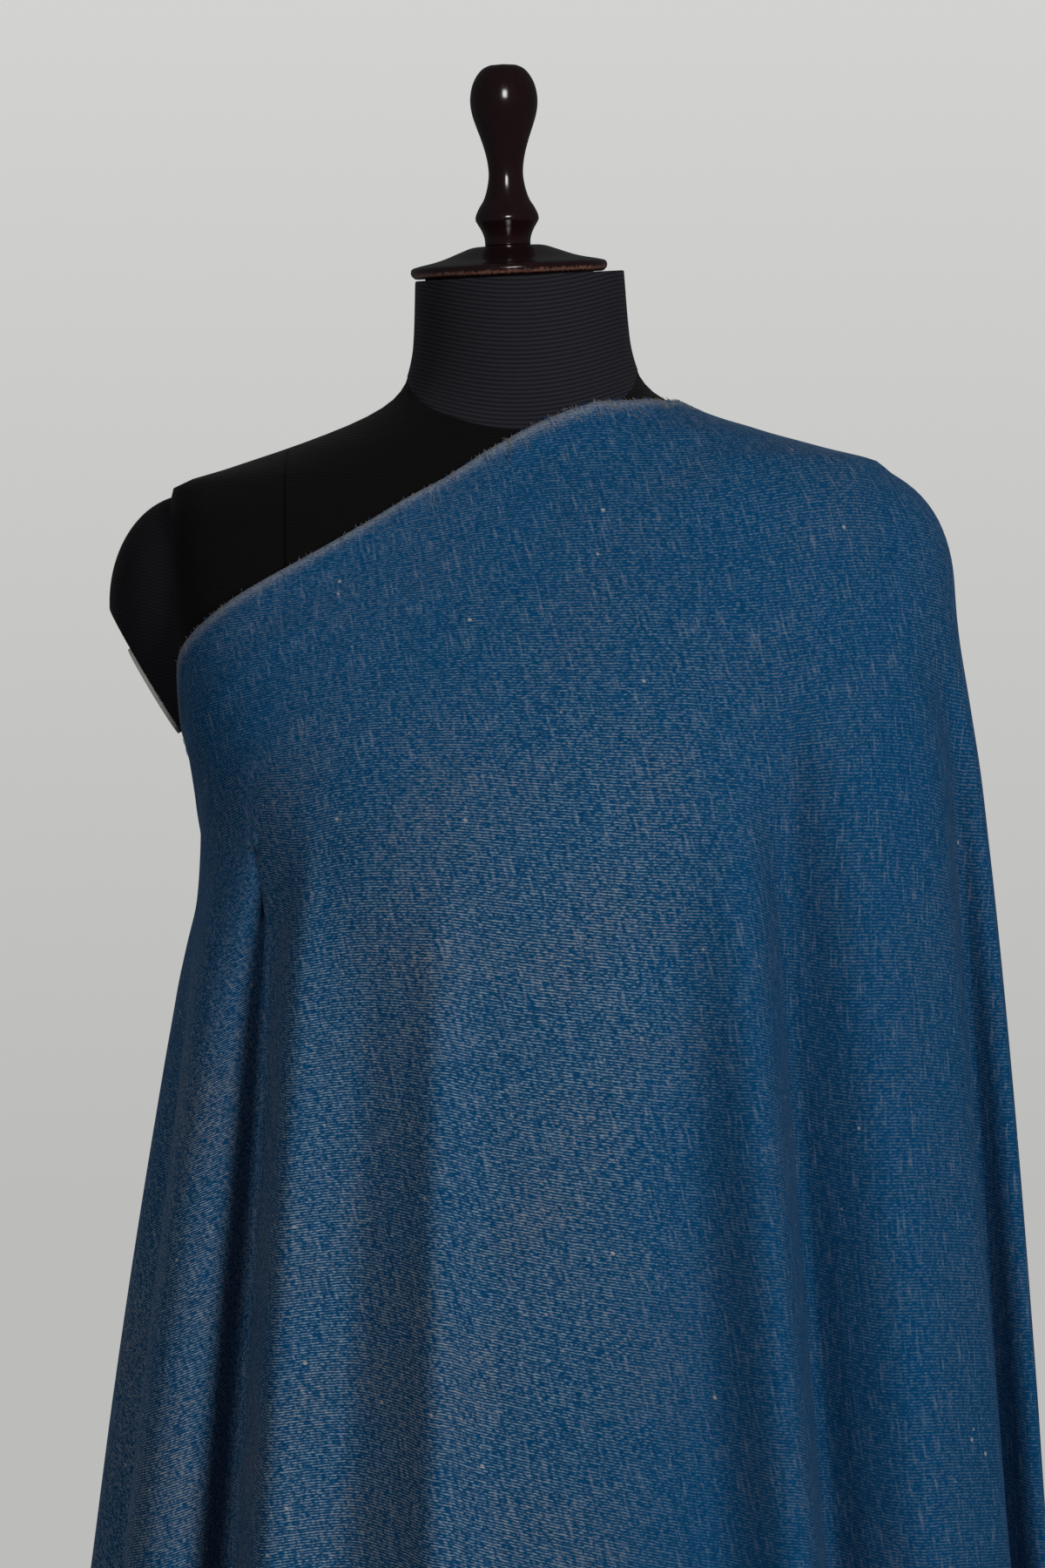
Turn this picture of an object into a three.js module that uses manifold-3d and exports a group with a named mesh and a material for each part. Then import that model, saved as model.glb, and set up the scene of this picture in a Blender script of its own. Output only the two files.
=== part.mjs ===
// A pashmina shawl worn over one shoulder of a limbless dress form, in millimetres, +Z up.
// The shawl is one cloth of 2000 by 1000 mm. Its long edge runs from under the right arm, up
// across the chest to the left side of the neck, over the shoulder and down the back, where the
// two ends lie over each other. The cloth hangs from that edge and flares into soft folds.
// The origin is the middle of the base's underside, and the form faces -Y.

import * as THREE from "three";
import { mergeVertices } from "three/addons/utils/BufferGeometryUtils.js";
import Module from "manifold-3d";

const wasm = await Module();
wasm.setup();

// Driving dimensions
const SHAWL_DROP = 1000; // width of the cloth, which hangs down
const WALL = 2; // thickness the cloth is given
const REST_GAP = 0.8; // between the cloth and the form that carries it
const SHOULDER_EASE = { turn: 372, more: 1.5, width: 55 }; // and where the cloth bends most
const SEAM_GAP = 0.3; // between neighbouring pieces
const LAYER_STEP = 5.5; // from one layer of cloth to the layer over it
const LEAN = THREE.MathUtils.degToRad(1.7); // the form leans to its right on the post
const BODY_BOTTOM = 715;
const BODY_TOP = 1433.7;
const NECK_TOP = { aside: 0.0245, back: 0.105 }; // its rise for each millimetre left and back
const NECK_TILT_FROM = 1385;
const BASE_RADIUS = 195;
const BASE_THICKNESS = 7;
const HUB_HEIGHT = 62;
const POST_RADIUS = 14;
const COLLAR_RADIUS = 46;
const COLLAR_HEIGHT = 24;

// Outline of the form from the front and the side: half width, and depth before and behind its axis.
const FORM = [
  { height: 715, side: 168, front: 103, back: 110, square: 2.3 },
  { height: 770, side: 172, front: 107, back: 116, square: 2.3 },
  { height: 830, side: 163, front: 104, back: 106, square: 2.2 },
  { height: 900, side: 142, front: 96, back: 86, square: 2.1 },
  { height: 970, side: 127, front: 90, back: 76, square: 2.1 },
  { height: 1010, side: 130, front: 95, back: 78, square: 2.1 },
  { height: 1065, side: 144, front: 109, back: 86, square: 2.2 },
  { height: 1105, side: 154, front: 121, back: 92, square: 2.3 },
  { height: 1140, side: 161, front: 127, back: 96, square: 2.4 },
  { height: 1170, side: 167, front: 122, back: 99, square: 2.6 },
  { height: 1207, side: 175, front: 111, back: 100, square: 3 },
  { height: 1250, side: 180, front: 98, back: 98, square: 3.5 },
  { height: 1285, side: 182, front: 87, back: 93, square: 3.6 },
  { height: 1312, side: 182, front: 78, back: 87, square: 3.3 },
  { height: 1330, side: 179.5, front: 70, back: 80, square: 2.5 },
  { height: 1338.5, side: 154, front: 67, back: 76, square: 2.2 },
  { height: 1347, side: 126, front: 64, back: 72, square: 2.1 },
  { height: 1355, side: 102, front: 61, back: 67, square: 2 },
  { height: 1363.5, side: 80.5, front: 59, back: 63, square: 2 },
  { height: 1372, side: 66.5, front: 57.5, back: 60, square: 2 },
  { height: 1381, side: 59.5, front: 56.5, back: 58, square: 2 },
  { height: 1400, side: 55, front: 55.5, back: 56.5, square: 2 },
  { height: 1434, side: 53, front: 54, back: 55, square: 2 },
];

// How wide the hanging cloth stands at each height where nothing under it pushes it out.
const HANG = [
  { height: 80, left: 300, right: 337, front: 218, back: 216, square: 2.1 },
  { height: 300, left: 284, right: 307, front: 202, back: 200, square: 2.1 },
  { height: 500, left: 268, right: 275, front: 186, back: 182, square: 2.1 },
  { height: 780, left: 241.5, right: 230, front: 162, back: 152, square: 2.1 },
  { height: 870, left: 238.5, right: 216.5, front: 154, back: 142, square: 2.1 },
  { height: 1000, left: 233.5, right: 195, front: 144, back: 128, square: 2.1 },
  { height: 1080, left: 229.5, right: 181, front: 137, back: 119, square: 2.15 },
  { height: 1140, left: 226, right: 169, front: 130, back: 112, square: 2.2 },
  { height: 1180, left: 223, right: 168, front: 118, back: 104, square: 2.4 },
  { height: 1230, left: 218, right: 160, front: 104, back: 98, square: 2.4 },
  { height: 1280, left: 211, right: 130, front: 86, back: 92, square: 2.4 },
  { height: 1300, left: 206, right: 111, front: 79, back: 87, square: 2.4 },
  { height: 1310, left: 200.5, right: 100, front: 75, back: 84, square: 2.4 },
  { height: 1320, left: 192, right: 91, front: 69.5, back: 79, square: 2.35 },
  { height: 1330, left: 178.5, right: 80, front: 63, back: 73, square: 2.3 },
  { height: 1337, left: 156, right: 71, front: 57, back: 65, square: 2.25 },
  { height: 1344, left: 122, right: 60, front: 50, back: 55, square: 2.2 },
  { height: 1400, left: 10, right: 10, front: 10, back: 10, square: 2 },
];

// The long top edge: its height at each turn about the form's axis. Turn 180 is the right side,
// 270 the front, 360 the left side and 450 the middle of the back.
const EDGE = [
  { turn: 100, height: 1206 },
  { turn: 150, height: 1198 },
  { turn: 172, height: 1193 },
  { turn: 184, height: 1200 },
  { turn: 192, height: 1221 },
  { turn: 197, height: 1242 },
  { turn: 203, height: 1257 },
  { turn: 210, height: 1273.5 },
  { turn: 221, height: 1297 },
  { turn: 231, height: 1314.5 },
  { turn: 240, height: 1325.5 },
  { turn: 255, height: 1340 },
  { turn: 270, height: 1349.5 },
  { turn: 287, height: 1357.5 },
  { turn: 305, height: 1363 },
  { turn: 363, height: 1364.5 },
  { turn: 380, height: 1362 },
  { turn: 405, height: 1346 },
  { turn: 430, height: 1316 },
  { turn: 450, height: 1286 },
  { turn: 470, height: 1252 },
  { turn: 490, height: 1212 },
  { turn: 508, height: 1172 },
  { turn: 525, height: 1143 },
];

// Folds of the hanging cloth: where each lies, which way it moves the cloth, how far it stands out
// (or in, if negative) at the height of 780, its half width in degrees, and where it dies away.
const FOLDS = [
  { name: "under arm ridge", turn: 171, aim: 171, out: 14, width: 7, from: 1150 },
  { name: "behind side ridge", turn: 186, aim: 186, out: -14, width: 6, from: 1120 },
  { name: "side ridge", turn: 201, aim: 262, out: 17, width: 7, from: 1170 },
  { name: "deep side valley", turn: 216, aim: 270, out: -52, width: 4.2, from: 1200 },
  { name: "side crest", turn: 222, aim: 262, out: 14, width: 4.2, from: 1180 },
  { name: "front right valley", turn: 235, aim: 265, out: -13, width: 6, from: 1120 },
  { name: "front right crest", turn: 250, aim: 268, out: 18, width: 4.8, from: 1130 },
  { name: "front left valley", turn: 296, aim: 275, out: -12, width: 6, from: 1130 },
  { name: "front left crest", turn: 307.5, aim: 280, out: 21, width: 5, from: 1160 },
  { name: "arm valley", turn: 318, aim: 290, out: -38, width: 4.5, from: 1260 },
  { name: "before arm ridge", turn: 328, aim: 300, out: 11, width: 6, from: 1250 },
  { name: "arm ridge", turn: 337, aim: 337, out: 9, width: 7, from: 1250 },
  { name: "behind arm valley", turn: 347, aim: 286, out: -32, width: 3.8, from: 1250 },
  { name: "behind arm crest", turn: 354, aim: 292, out: 15, width: 4, from: 1240 },
  { name: "arm back ridge", turn: 366, aim: 366, out: 9, width: 7, from: 1220 },
  { name: "arm back trough", turn: 381, aim: 381, out: -14, width: 6, from: 1200 },
  { name: "back left ridge", turn: 396, aim: 396, out: 13, width: 8, from: 1210 },
  { name: "back left trough", turn: 411, aim: 411, out: -16, width: 6, from: 1190 },
  { name: "blade ridge", turn: 427, aim: 427, out: 10, width: 7, from: 1170 },
  { name: "back trough", turn: 443, aim: 443, out: -12, width: 7, from: 1150 },
  { name: "back ridge", turn: 460, aim: 460, out: 12, width: 8, from: 1160 },
  { name: "back right trough", turn: 477, aim: 477, out: -15, width: 6, from: 1130 },
  { name: "back right ridge", turn: 493, aim: 493, out: 11, width: 7, from: 1140 },
  { name: "side back trough", turn: 508, aim: 508, out: -13, width: 6, from: 1120 },
];
const FOLD_MEASURED_AT = 780;
const FOLD_HASTE = 0.5; // the smaller, the sooner below its top a fold is full

// Stretches of the cloth, from its inner end at the back round to its outer end.
const STRETCHES = [
  { name: "shawl_wrap_end", from: 98, to: 194, steps: 24 },
  { name: "shawl_front", from: 194, to: 360, steps: 58 },
  { name: "shawl_shoulder", from: 360, to: 418, steps: 16 },
  { name: "shawl_back", from: 418, to: 526, steps: 27 },
];
const STRETCH_GAP = 0.1; // degrees left free beside each cut
const OVERLAP = { from: 432, to: 462 }; // turns between which the outer end is lifted over the inner
const ROWS_DOWN = [
  0, 18, 36, 54, 71, 86, 100, 113, 126, 141, 160, 184, 216, 260, 320, 400, 490,
  600, 730, 865, 1000,
];

const { cos, sin, sqrt, hypot, abs, max, exp, PI } = Math;
const { degToRad, smoothstep, lerp } = THREE.MathUtils;

// The value of a column where the key column has a given value, on a smooth monotone curve.
function read(rows, key, at, column) {
  let i = rows.findIndex((row) => row[key] > at);
  if (i === 0) return rows[0][column];
  if (i < 0) return rows.at(-1)[column];
  i -= 1;
  const slope = (n) =>
    (rows[n + 1][column] - rows[n][column]) / (rows[n + 1][key] - rows[n][key]);
  const tangent = (n) => {
    if (n === 0 || n === rows.length - 1) return slope(n === 0 ? 0 : n - 1);
    const [before, after] = [slope(n - 1), slope(n)];
    return before * after <= 0
      ? 0
      : (2 * before * after) / (before + after);
  };
  const width = rows[i + 1][key] - rows[i][key];
  const t = (at - rows[i][key]) / width;
  const [start, end] = [rows[i][column], rows[i + 1][column]];
  return (
    start * (1 + 2 * t) * (1 - t) ** 2 +
    end * t * t * (3 - 2 * t) +
    width * (tangent(i) * t * (1 - t) ** 2 - tangent(i + 1) * t * t * (1 - t))
  );
}

// The radius of a rounded section towards a turn, from its reach along each axis.
function sectionRadius(turn, acrossReach, alongReach, square) {
  const angle = degToRad(turn);
  const across = abs(cos(angle)) / acrossReach;
  const along = abs(sin(angle)) / alongReach;
  return (across ** square + along ** square) ** (-1 / square);
}

function formRadius(turn, height) {
  const depth = sin(degToRad(turn)) < 0 ? "front" : "back";
  return sectionRadius(
    turn,
    read(FORM, "height", height, "side"),
    read(FORM, "height", height, depth),
    read(FORM, "height", height, "square"),
  );
}

// The rounded cap that closes each armhole.
const ARM_CAP = { centre: 172, middle: 1271, out: 42, deep: 47, above: 56, below: 73 };
const PLATE_LINE = { outer: [205, 1254], inner: [176.5, 1203] }; // slanted cut below each cap
const ARM_PLATE = { long: 25, wide: 21, thick: 2.4 };

// Where a line from the axis leaves the arm cap on the left, or 0 where it misses it.
function capRadius(turn, height) {
  const { centre, middle, out, deep, above, below } = ARM_CAP;
  const room = 1 - ((height - middle) / (height > middle ? above : below)) ** 2;
  const [dx, dy] = [cos(degToRad(turn)), sin(degToRad(turn))];
  if (room <= 0 || dx <= 0) return 0;
  const a = (dx / out) ** 2 + (dy / deep) ** 2;
  const b = (-2 * dx * centre) / out ** 2;
  const c = (centre / out) ** 2 - room;
  const under = b * b - 4 * a * c;
  return under <= 0 ? 0 : (-b + sqrt(under)) / (2 * a);
}

// The larger of two values, with a rounded change from one to the other.
const CREASE_ROUNDING = 4;
const softMax = (a, b) => (a + b + sqrt((a - b) ** 2 + CREASE_ROUNDING ** 2)) / 2;

// The angle from one turn to another, between -180 and 180.
const turnsApart = (from, to) => ((((to - from) % 360) + 540) % 360) - 180;

// What carries the cloth, moved out by the rest gap square to its own slope.
const STEEPEST = 3.2;
function carriedRadius(turn, height) {
  const at = (t, z) => max(formRadius(t, z), capRadius(t, z));
  const radius = at(turn, height);
  const slope = (at(turn, height + 1) - at(turn, height - 1)) / 2;
  const skew = (at(turn + 1, height) - at(turn - 1, height)) / (degToRad(2) * radius);
  const { turn: middle, more, width } = SHOULDER_EASE;
  const gap = REST_GAP + more * exp(-((turnsApart(middle, turn) / width) ** 2));
  return radius + gap * Math.min(hypot(1, slope, skew), STEEPEST);
}

// How far the folds move the hanging cloth, as a level vector.
function foldsOut(turn, height) {
  const total = new THREE.Vector2();
  for (const fold of FOLDS) {
    const below = max(0, fold.from - height) / (fold.from - FOLD_MEASURED_AT);
    const grown = ((1 + FOLD_HASTE) * below) / (below + FOLD_HASTE);
    const share = exp(-((turnsApart(fold.turn, turn) / fold.width) ** 2));
    const aim = degToRad(fold.aim);
    const out = fold.out * grown * share;
    total.add(new THREE.Vector2(out * cos(aim), out * sin(aim)));
  }
  return total;
}

// The place of the cloth's inner face at a turn and height, as a level vector.
function clothPlace(turn, height) {
  const angle = degToRad(turn);
  const hang = sectionRadius(
    turn,
    read(HANG, "height", height, cos(angle) > 0 ? "left" : "right"),
    read(HANG, "height", height, sin(angle) < 0 ? "front" : "back"),
    read(HANG, "height", height, "square"),
  );
  const free = new THREE.Vector2(hang * cos(angle), hang * sin(angle));
  free.add(foldsOut(turn, height));
  const faced = THREE.MathUtils.radToDeg(free.angle());
  const lift = LAYER_STEP * smoothstep(turn, OVERLAP.from, OVERLAP.to);
  return free.setLength(softMax(carriedRadius(faced, height), free.length()) + lift);
}

// Points down the cloth from its top edge at one turn, with the distance travelled to each.
const FALL_STEP = 2;
const fallLines = new Map();
function fallLine(turn) {
  if (!fallLines.has(turn)) {
    let height = read(EDGE, "turn", turn, "height");
    let place = clothPlace(turn, height);
    let travelled = 0;
    const line = [{ travelled, place, height }];
    while (travelled < SHAWL_DROP) {
      height -= FALL_STEP;
      const next = clothPlace(turn, height);
      travelled += hypot(next.distanceTo(place), FALL_STEP);
      place = next;
      line.push({ travelled, place, height });
    }
    fallLines.set(turn, line);
  }
  return fallLines.get(turn);
}

// A point on the cloth's inner face.
function clothPoint(turn, down) {
  const line = fallLine(turn);
  const i = max(1, line.findIndex((p) => p.travelled >= down));
  const [a, b] = [line[i - 1], line[i]];
  const t = (down - a.travelled) / (b.travelled - a.travelled);
  const place = a.place.clone().lerp(b.place, t);
  return new THREE.Vector3(place.x, place.y, lerp(a.height, b.height, t));
}

// The direction out of the cloth at a point.
function clothNormal(turn, down) {
  const [across, along] = [0.4, 2];
  const from = max(0, down - along);
  const to = Math.min(SHAWL_DROP, down + along);
  const round = clothPoint(turn + across, down).sub(clothPoint(turn - across, down));
  const drop = clothPoint(turn, to).sub(clothPoint(turn, from));
  return drop.cross(round).normalize();
}

// Moves every vertex of a geometry to place(x, y, z), and leaves it with positions only.
function mapped(geometry, place) {
  const position = geometry.getAttribute("position");
  for (let i = 0; i < position.count; i++) {
    const { x, y, z } = place(position.getX(i), position.getY(i), position.getZ(i));
    position.setXYZ(i, x, y, z);
  }
  geometry.deleteAttribute("normal");
  geometry.deleteAttribute("uv");
  return mergeVertices(geometry, 1e-3);
}

// One stretch of the cloth: a thin box bent into the drape, its far side the outer face.
function stretchGeometry({ from, to, steps }, index) {
  const first = from + (index > 0 ? STRETCH_GAP : 0);
  const last = to - (index < STRETCHES.length - 1 ? STRETCH_GAP : 0);
  const rows = ROWS_DOWN.length - 1;
  const box = new THREE.BoxGeometry(1, 1, 1, steps, rows, 1);
  return mapped(box, (x, y, z) => {
    const turn = lerp(first, last, x + 0.5);
    const down = ROWS_DOWN[Math.round((0.5 - y) * rows)];
    const out = z > 0 ? WALL : 0;
    return clothPoint(turn, down).addScaledVector(clothNormal(turn, down), out);
  });
}

// The form's body: a cylinder drawn out to the outline, with its neck's top tilted.
const FORM_RINGS = [
  715, 770, 830, 900, 970, 1035, 1080, 1115, 1145, 1175, 1207, 1240, 1270, 1298,
  1316, 1326, 1332, 1338, 1347, 1355, 1363, 1372, 1381, 1400, 1417, BODY_TOP,
];
const FORM_SIDES = 52;
function bodyGeometry(grow) {
  const rings = FORM_RINGS.length - 1;
  const cylinder = new THREE.CylinderGeometry(1, 1, 1, FORM_SIDES, rings);
  return mapped(cylinder, (x, y, z) => {
    const height = FORM_RINGS[Math.round((y + 0.5) * rings)];
    const turn = THREE.MathUtils.radToDeg(Math.atan2(-z, x));
    const spread = hypot(x, z) * (formRadius(turn, height) + grow);
    const across = spread * cos(degToRad(turn));
    const back = spread * sin(degToRad(turn));
    const rise = NECK_TOP.aside * across + NECK_TOP.back * back;
    const tilted = rise * smoothstep(height, NECK_TILT_FROM, BODY_TOP);
    const end = height === BODY_BOTTOM ? -grow : 0;
    return { x: across, y: back, z: height + end + tilted };
  });
}

function toSolid(geometry) {
  geometry.deleteAttribute("normal");
  geometry.deleteAttribute("uv");
  const whole = mergeVertices(geometry, 1e-3);
  return new wasm.Manifold(
    new wasm.Mesh({
      numProp: 3,
      vertProperties: new Float32Array(whole.getAttribute("position").array),
      triVerts: new Uint32Array(whole.index.array),
    }),
  );
}

function fromSolid(solid) {
  const mesh = solid.getMesh();
  const geometry = new THREE.BufferGeometry();
  geometry.setAttribute("position", new THREE.BufferAttribute(mesh.vertProperties, 3));
  return geometry.setIndex(new THREE.BufferAttribute(mesh.triVerts, 1));
}

// The slanted cut under an arm cap on the given side, 1 for left and -1 for right.
function slantedCut(side) {
  const outer = new THREE.Vector3(side * PLATE_LINE.outer[0], 0, PLATE_LINE.outer[1]);
  const inner = new THREE.Vector3(side * PLATE_LINE.inner[0], 0, PLATE_LINE.inner[1]);
  const along = inner.clone().sub(outer).normalize();
  const wide = new THREE.Vector3(0, -side, 0);
  const out = wide.clone().cross(along);
  const matrix = new THREE.Matrix4().makeBasis(along, out, wide);
  return { matrix, out, middle: outer.add(inner).multiplyScalar(0.5) };
}

const CUTTER = 200; // side of the block that cuts a cap's slanted face
function armCapGeometry(side) {
  const { centre, middle, out, deep, above, below } = ARM_CAP;
  const ball = mapped(new THREE.SphereGeometry(1, 24, 16), (x, y, z) => ({
    x: side * centre + x * out,
    y: -z * deep,
    z: middle + y * (y > 0 ? above : below),
  }));
  const cut = slantedCut(side);
  const block = new THREE.BoxGeometry(CUTTER, CUTTER, CUTTER)
    .translate(0, CUTTER / 2, 0)
    .applyMatrix4(cut.matrix)
    .translate(...cut.middle.toArray());
  const around = toSolid(bodyGeometry(SEAM_GAP)).add(toSolid(block));
  return fromSolid(toSolid(ball).subtract(around));
}

function armPlateGeometry(side) {
  const { long, wide, thick } = ARM_PLATE;
  const cut = slantedCut(side);
  const lifted = cut.middle.addScaledVector(cut.out, SEAM_GAP);
  return new THREE.CylinderGeometry(1, 1, thick, 28)
    .scale(long, 1, wide)
    .translate(0, thick / 2, 0)
    .applyMatrix4(cut.matrix)
    .translate(...lifted.toArray());
}

// The turned wooden cap on the neck and the knob on it, each a turned profile of radius and height.
const CAP_RADIUS = 50.4;
const CAP_PROFILE = [
  [0, 0], [CAP_RADIUS - 3, 0], [CAP_RADIUS - 0.6, 1], [CAP_RADIUS, 3], [CAP_RADIUS - 0.8, 5],
  [CAP_RADIUS - 3, 6.4], [35, 8.6], [25, 12.4], [19, 14.6], [15, 15.1], [0, 15.1],
];
const KNOB_PROFILE = [
  [0, 0], [11.6, 0], [12, 4], [14, 8.6], [16, 11.8], [15.9, 14.6], [14.2, 18.7], [11.6, 23],
  [9.6, 29.5], [8.8, 35.5], [9.4, 43], [11.6, 51], [14.2, 59], [16.4, 66], [17.2, 72], [16.4, 79],
  [13.8, 85], [10.6, 88.8], [6.5, 90.6], [0, 91.1],
];
const TURNED_SIDES = 30;
function turned(profile) {
  const points = profile.map(([radius, height]) => new THREE.Vector2(radius, height));
  return new THREE.LatheGeometry(points, TURNED_SIDES).rotateX(PI / 2);
}
const CAP_TILT = { aside: degToRad(1.1), forward: degToRad(6) };
const CAP_SHIFT = -5.2;
const KNOB_TILT = degToRad(1.2); // back towards upright
const KNOB_GAP = 0.5;

const BASE_PROFILE = [
  [0, 0], [BASE_RADIUS - 2, 0], [BASE_RADIUS, 2], [BASE_RADIUS, BASE_THICKNESS - 3],
  [BASE_RADIUS - 3, BASE_THICKNESS], [60, 11], [34, 18], [26, 30], [24, HUB_HEIGHT - 3],
  [21, HUB_HEIGHT], [0, HUB_HEIGHT],
];
const COLLAR_PROFILE = [
  [0, -COLLAR_HEIGHT], [22, -COLLAR_HEIGHT], [24, -COLLAR_HEIGHT + 2], [24, -8],
  [COLLAR_RADIUS - 2, -7], [COLLAR_RADIUS, -5], [COLLAR_RADIUS, 0], [0, 0],
];

const finish = (color, roughness, metalness) =>
  new THREE.MeshStandardMaterial({ color, roughness, metalness });
const CLOTH = finish(0x3a5a80, 0.95, 0);
const JERSEY = finish(0x17171b, 0.85, 0);
const BOARD = finish(0xc9c8c4, 0.7, 0);
const WOOD = finish(0x2a1210, 0.25, 0);
const STEEL = finish(0x1c1c1e, 0.45, 0.3);

function named(name, geometry, material) {
  const mesh = new THREE.Mesh(geometry, material);
  mesh.name = name;
  return mesh;
}

// What leans with the form is drawn upright and turned about the top of the post.
const leaning = new THREE.Group();
const upright = new THREE.Group();
upright.position.z = -BODY_BOTTOM;
leaning.position.z = BODY_BOTTOM;
leaning.rotation.y = -LEAN;
leaning.add(upright);

STRETCHES.forEach((stretch, index) =>
  upright.add(named(stretch.name, stretchGeometry(stretch, index), CLOTH)),
);
upright.add(named("form_body", bodyGeometry(0), JERSEY));
for (const [side, word] of [[1, "left"], [-1, "right"]]) {
  upright.add(named(`form_arm_cap_${word}`, armCapGeometry(side), JERSEY));
  upright.add(named(`form_arm_plate_${word}`, armPlateGeometry(side), BOARD));
}

const neckTop = new THREE.Group();
neckTop.position.set(CAP_SHIFT, 0, BODY_TOP + SEAM_GAP);
neckTop.rotation.set(CAP_TILT.forward, -CAP_TILT.aside, 0);
const neckCap = named("form_neck_cap", turned(CAP_PROFILE), WOOD);
const knob = named("form_knob", turned(KNOB_PROFILE), WOOD);
knob.position.z = CAP_PROFILE.at(-1)[1] + KNOB_GAP;
knob.rotation.y = KNOB_TILT;
neckTop.add(neckCap, knob);
upright.add(neckTop);

const collar = named("form_collar", turned(COLLAR_PROFILE), STEEL);
collar.position.z = BODY_BOTTOM - SEAM_GAP;
upright.add(collar);

const POST_GAP = 0.7; // room for the lean between the post's top and the collar
const postTop = BODY_BOTTOM - COLLAR_HEIGHT - POST_GAP - SEAM_GAP;
const postBottom = HUB_HEIGHT + SEAM_GAP;
const post = named(
  "form_post",
  new THREE.CylinderGeometry(POST_RADIUS, POST_RADIUS, postTop - postBottom, 32).rotateX(PI / 2),
  STEEL,
);
post.position.z = (postTop + postBottom) / 2;

const model = new THREE.Group();
model.add(leaning, post, named("form_base", turned(BASE_PROFILE), STEEL));

export default model;
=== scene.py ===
"""A pashmina shawl worn over one shoulder of a limbless dress form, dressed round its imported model.

The shawl is one cloth. It hangs from its long top edge, which runs from under the right arm, up
across the chest to the left side of the neck, over the shoulder and down the back. Sizes are in
millimetres until a piece is finished, and the finished meshes are in metres.
"""

import logging
import math
import random
from dataclasses import dataclass, field
from enum import Enum
from typing import Callable, Optional, Sequence

import bmesh
import bpy
import numpy as np
from mathutils import Matrix, Vector


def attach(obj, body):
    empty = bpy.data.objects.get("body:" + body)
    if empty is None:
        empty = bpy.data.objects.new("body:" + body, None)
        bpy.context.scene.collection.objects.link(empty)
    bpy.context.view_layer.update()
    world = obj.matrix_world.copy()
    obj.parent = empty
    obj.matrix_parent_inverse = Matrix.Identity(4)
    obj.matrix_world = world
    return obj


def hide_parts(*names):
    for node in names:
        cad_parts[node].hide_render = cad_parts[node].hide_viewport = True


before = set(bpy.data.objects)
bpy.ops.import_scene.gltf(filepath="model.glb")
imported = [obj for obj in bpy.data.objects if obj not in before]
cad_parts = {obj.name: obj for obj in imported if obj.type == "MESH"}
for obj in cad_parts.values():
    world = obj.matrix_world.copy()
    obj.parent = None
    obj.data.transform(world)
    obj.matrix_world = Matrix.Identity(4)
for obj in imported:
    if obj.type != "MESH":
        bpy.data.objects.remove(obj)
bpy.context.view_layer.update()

MM = 0.001
ROOT = "root"

# The form on its stand
LEAN = math.radians(1.7)  # to the form's right
BODY_BOTTOM = 715.0
BODY_TOP = 1433.7
NECK_TOP_ASIDE = 0.0245  # rise of the neck's top for each millimetre left
NECK_TOP_BACK = 0.105  # and back
NECK_TILT_FROM = 1385.0
SEAM_GAP = 0.3

log = logging.getLogger("shawl")


@dataclass(frozen=True)
class FormRing:
    """The form's outline at one height: half width, and depth before and behind its axis."""

    height: float
    side: float
    front: float
    back: float
    square: float


@dataclass(frozen=True)
class HangRing:
    """How wide the hanging cloth stands at one height where nothing under it pushes it out."""

    height: float
    left: float
    right: float
    front: float
    back: float
    square: float


@dataclass(frozen=True)
class EdgePoint:
    """The height of the shawl's top edge at a turn about the form's axis, in degrees."""

    turn: float
    height: float


@dataclass(frozen=True)
class Fold:
    """A fold: its turn, the way it moves the cloth, how far at the measured height, its half width
    in degrees and the height where it dies away."""

    turn: float
    aim: float
    out: float
    width: float
    dies_at: float


FORM: Sequence[FormRing] = (
    FormRing(715, 168, 103, 110, 2.3),
    FormRing(770, 172, 107, 116, 2.3),
    FormRing(830, 163, 104, 106, 2.2),
    FormRing(900, 142, 96, 86, 2.1),
    FormRing(970, 127, 90, 76, 2.1),
    FormRing(1010, 130, 95, 78, 2.1),
    FormRing(1065, 144, 109, 86, 2.2),
    FormRing(1105, 154, 121, 92, 2.3),
    FormRing(1140, 161, 127, 96, 2.4),
    FormRing(1170, 167, 122, 99, 2.6),
    FormRing(1207, 175, 111, 100, 3),
    FormRing(1250, 180, 98, 98, 3.5),
    FormRing(1285, 182, 87, 93, 3.6),
    FormRing(1312, 182, 78, 87, 3.3),
    FormRing(1330, 179.5, 70, 80, 2.5),
    FormRing(1338.5, 154, 67, 76, 2.2),
    FormRing(1347, 126, 64, 72, 2.1),
    FormRing(1355, 102, 61, 67, 2),
    FormRing(1363.5, 80.5, 59, 63, 2),
    FormRing(1372, 66.5, 57.5, 60, 2),
    FormRing(1381, 59.5, 56.5, 58, 2),
    FormRing(1400, 55, 55.5, 56.5, 2),
    FormRing(1434, 53, 54, 55, 2),
)

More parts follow.
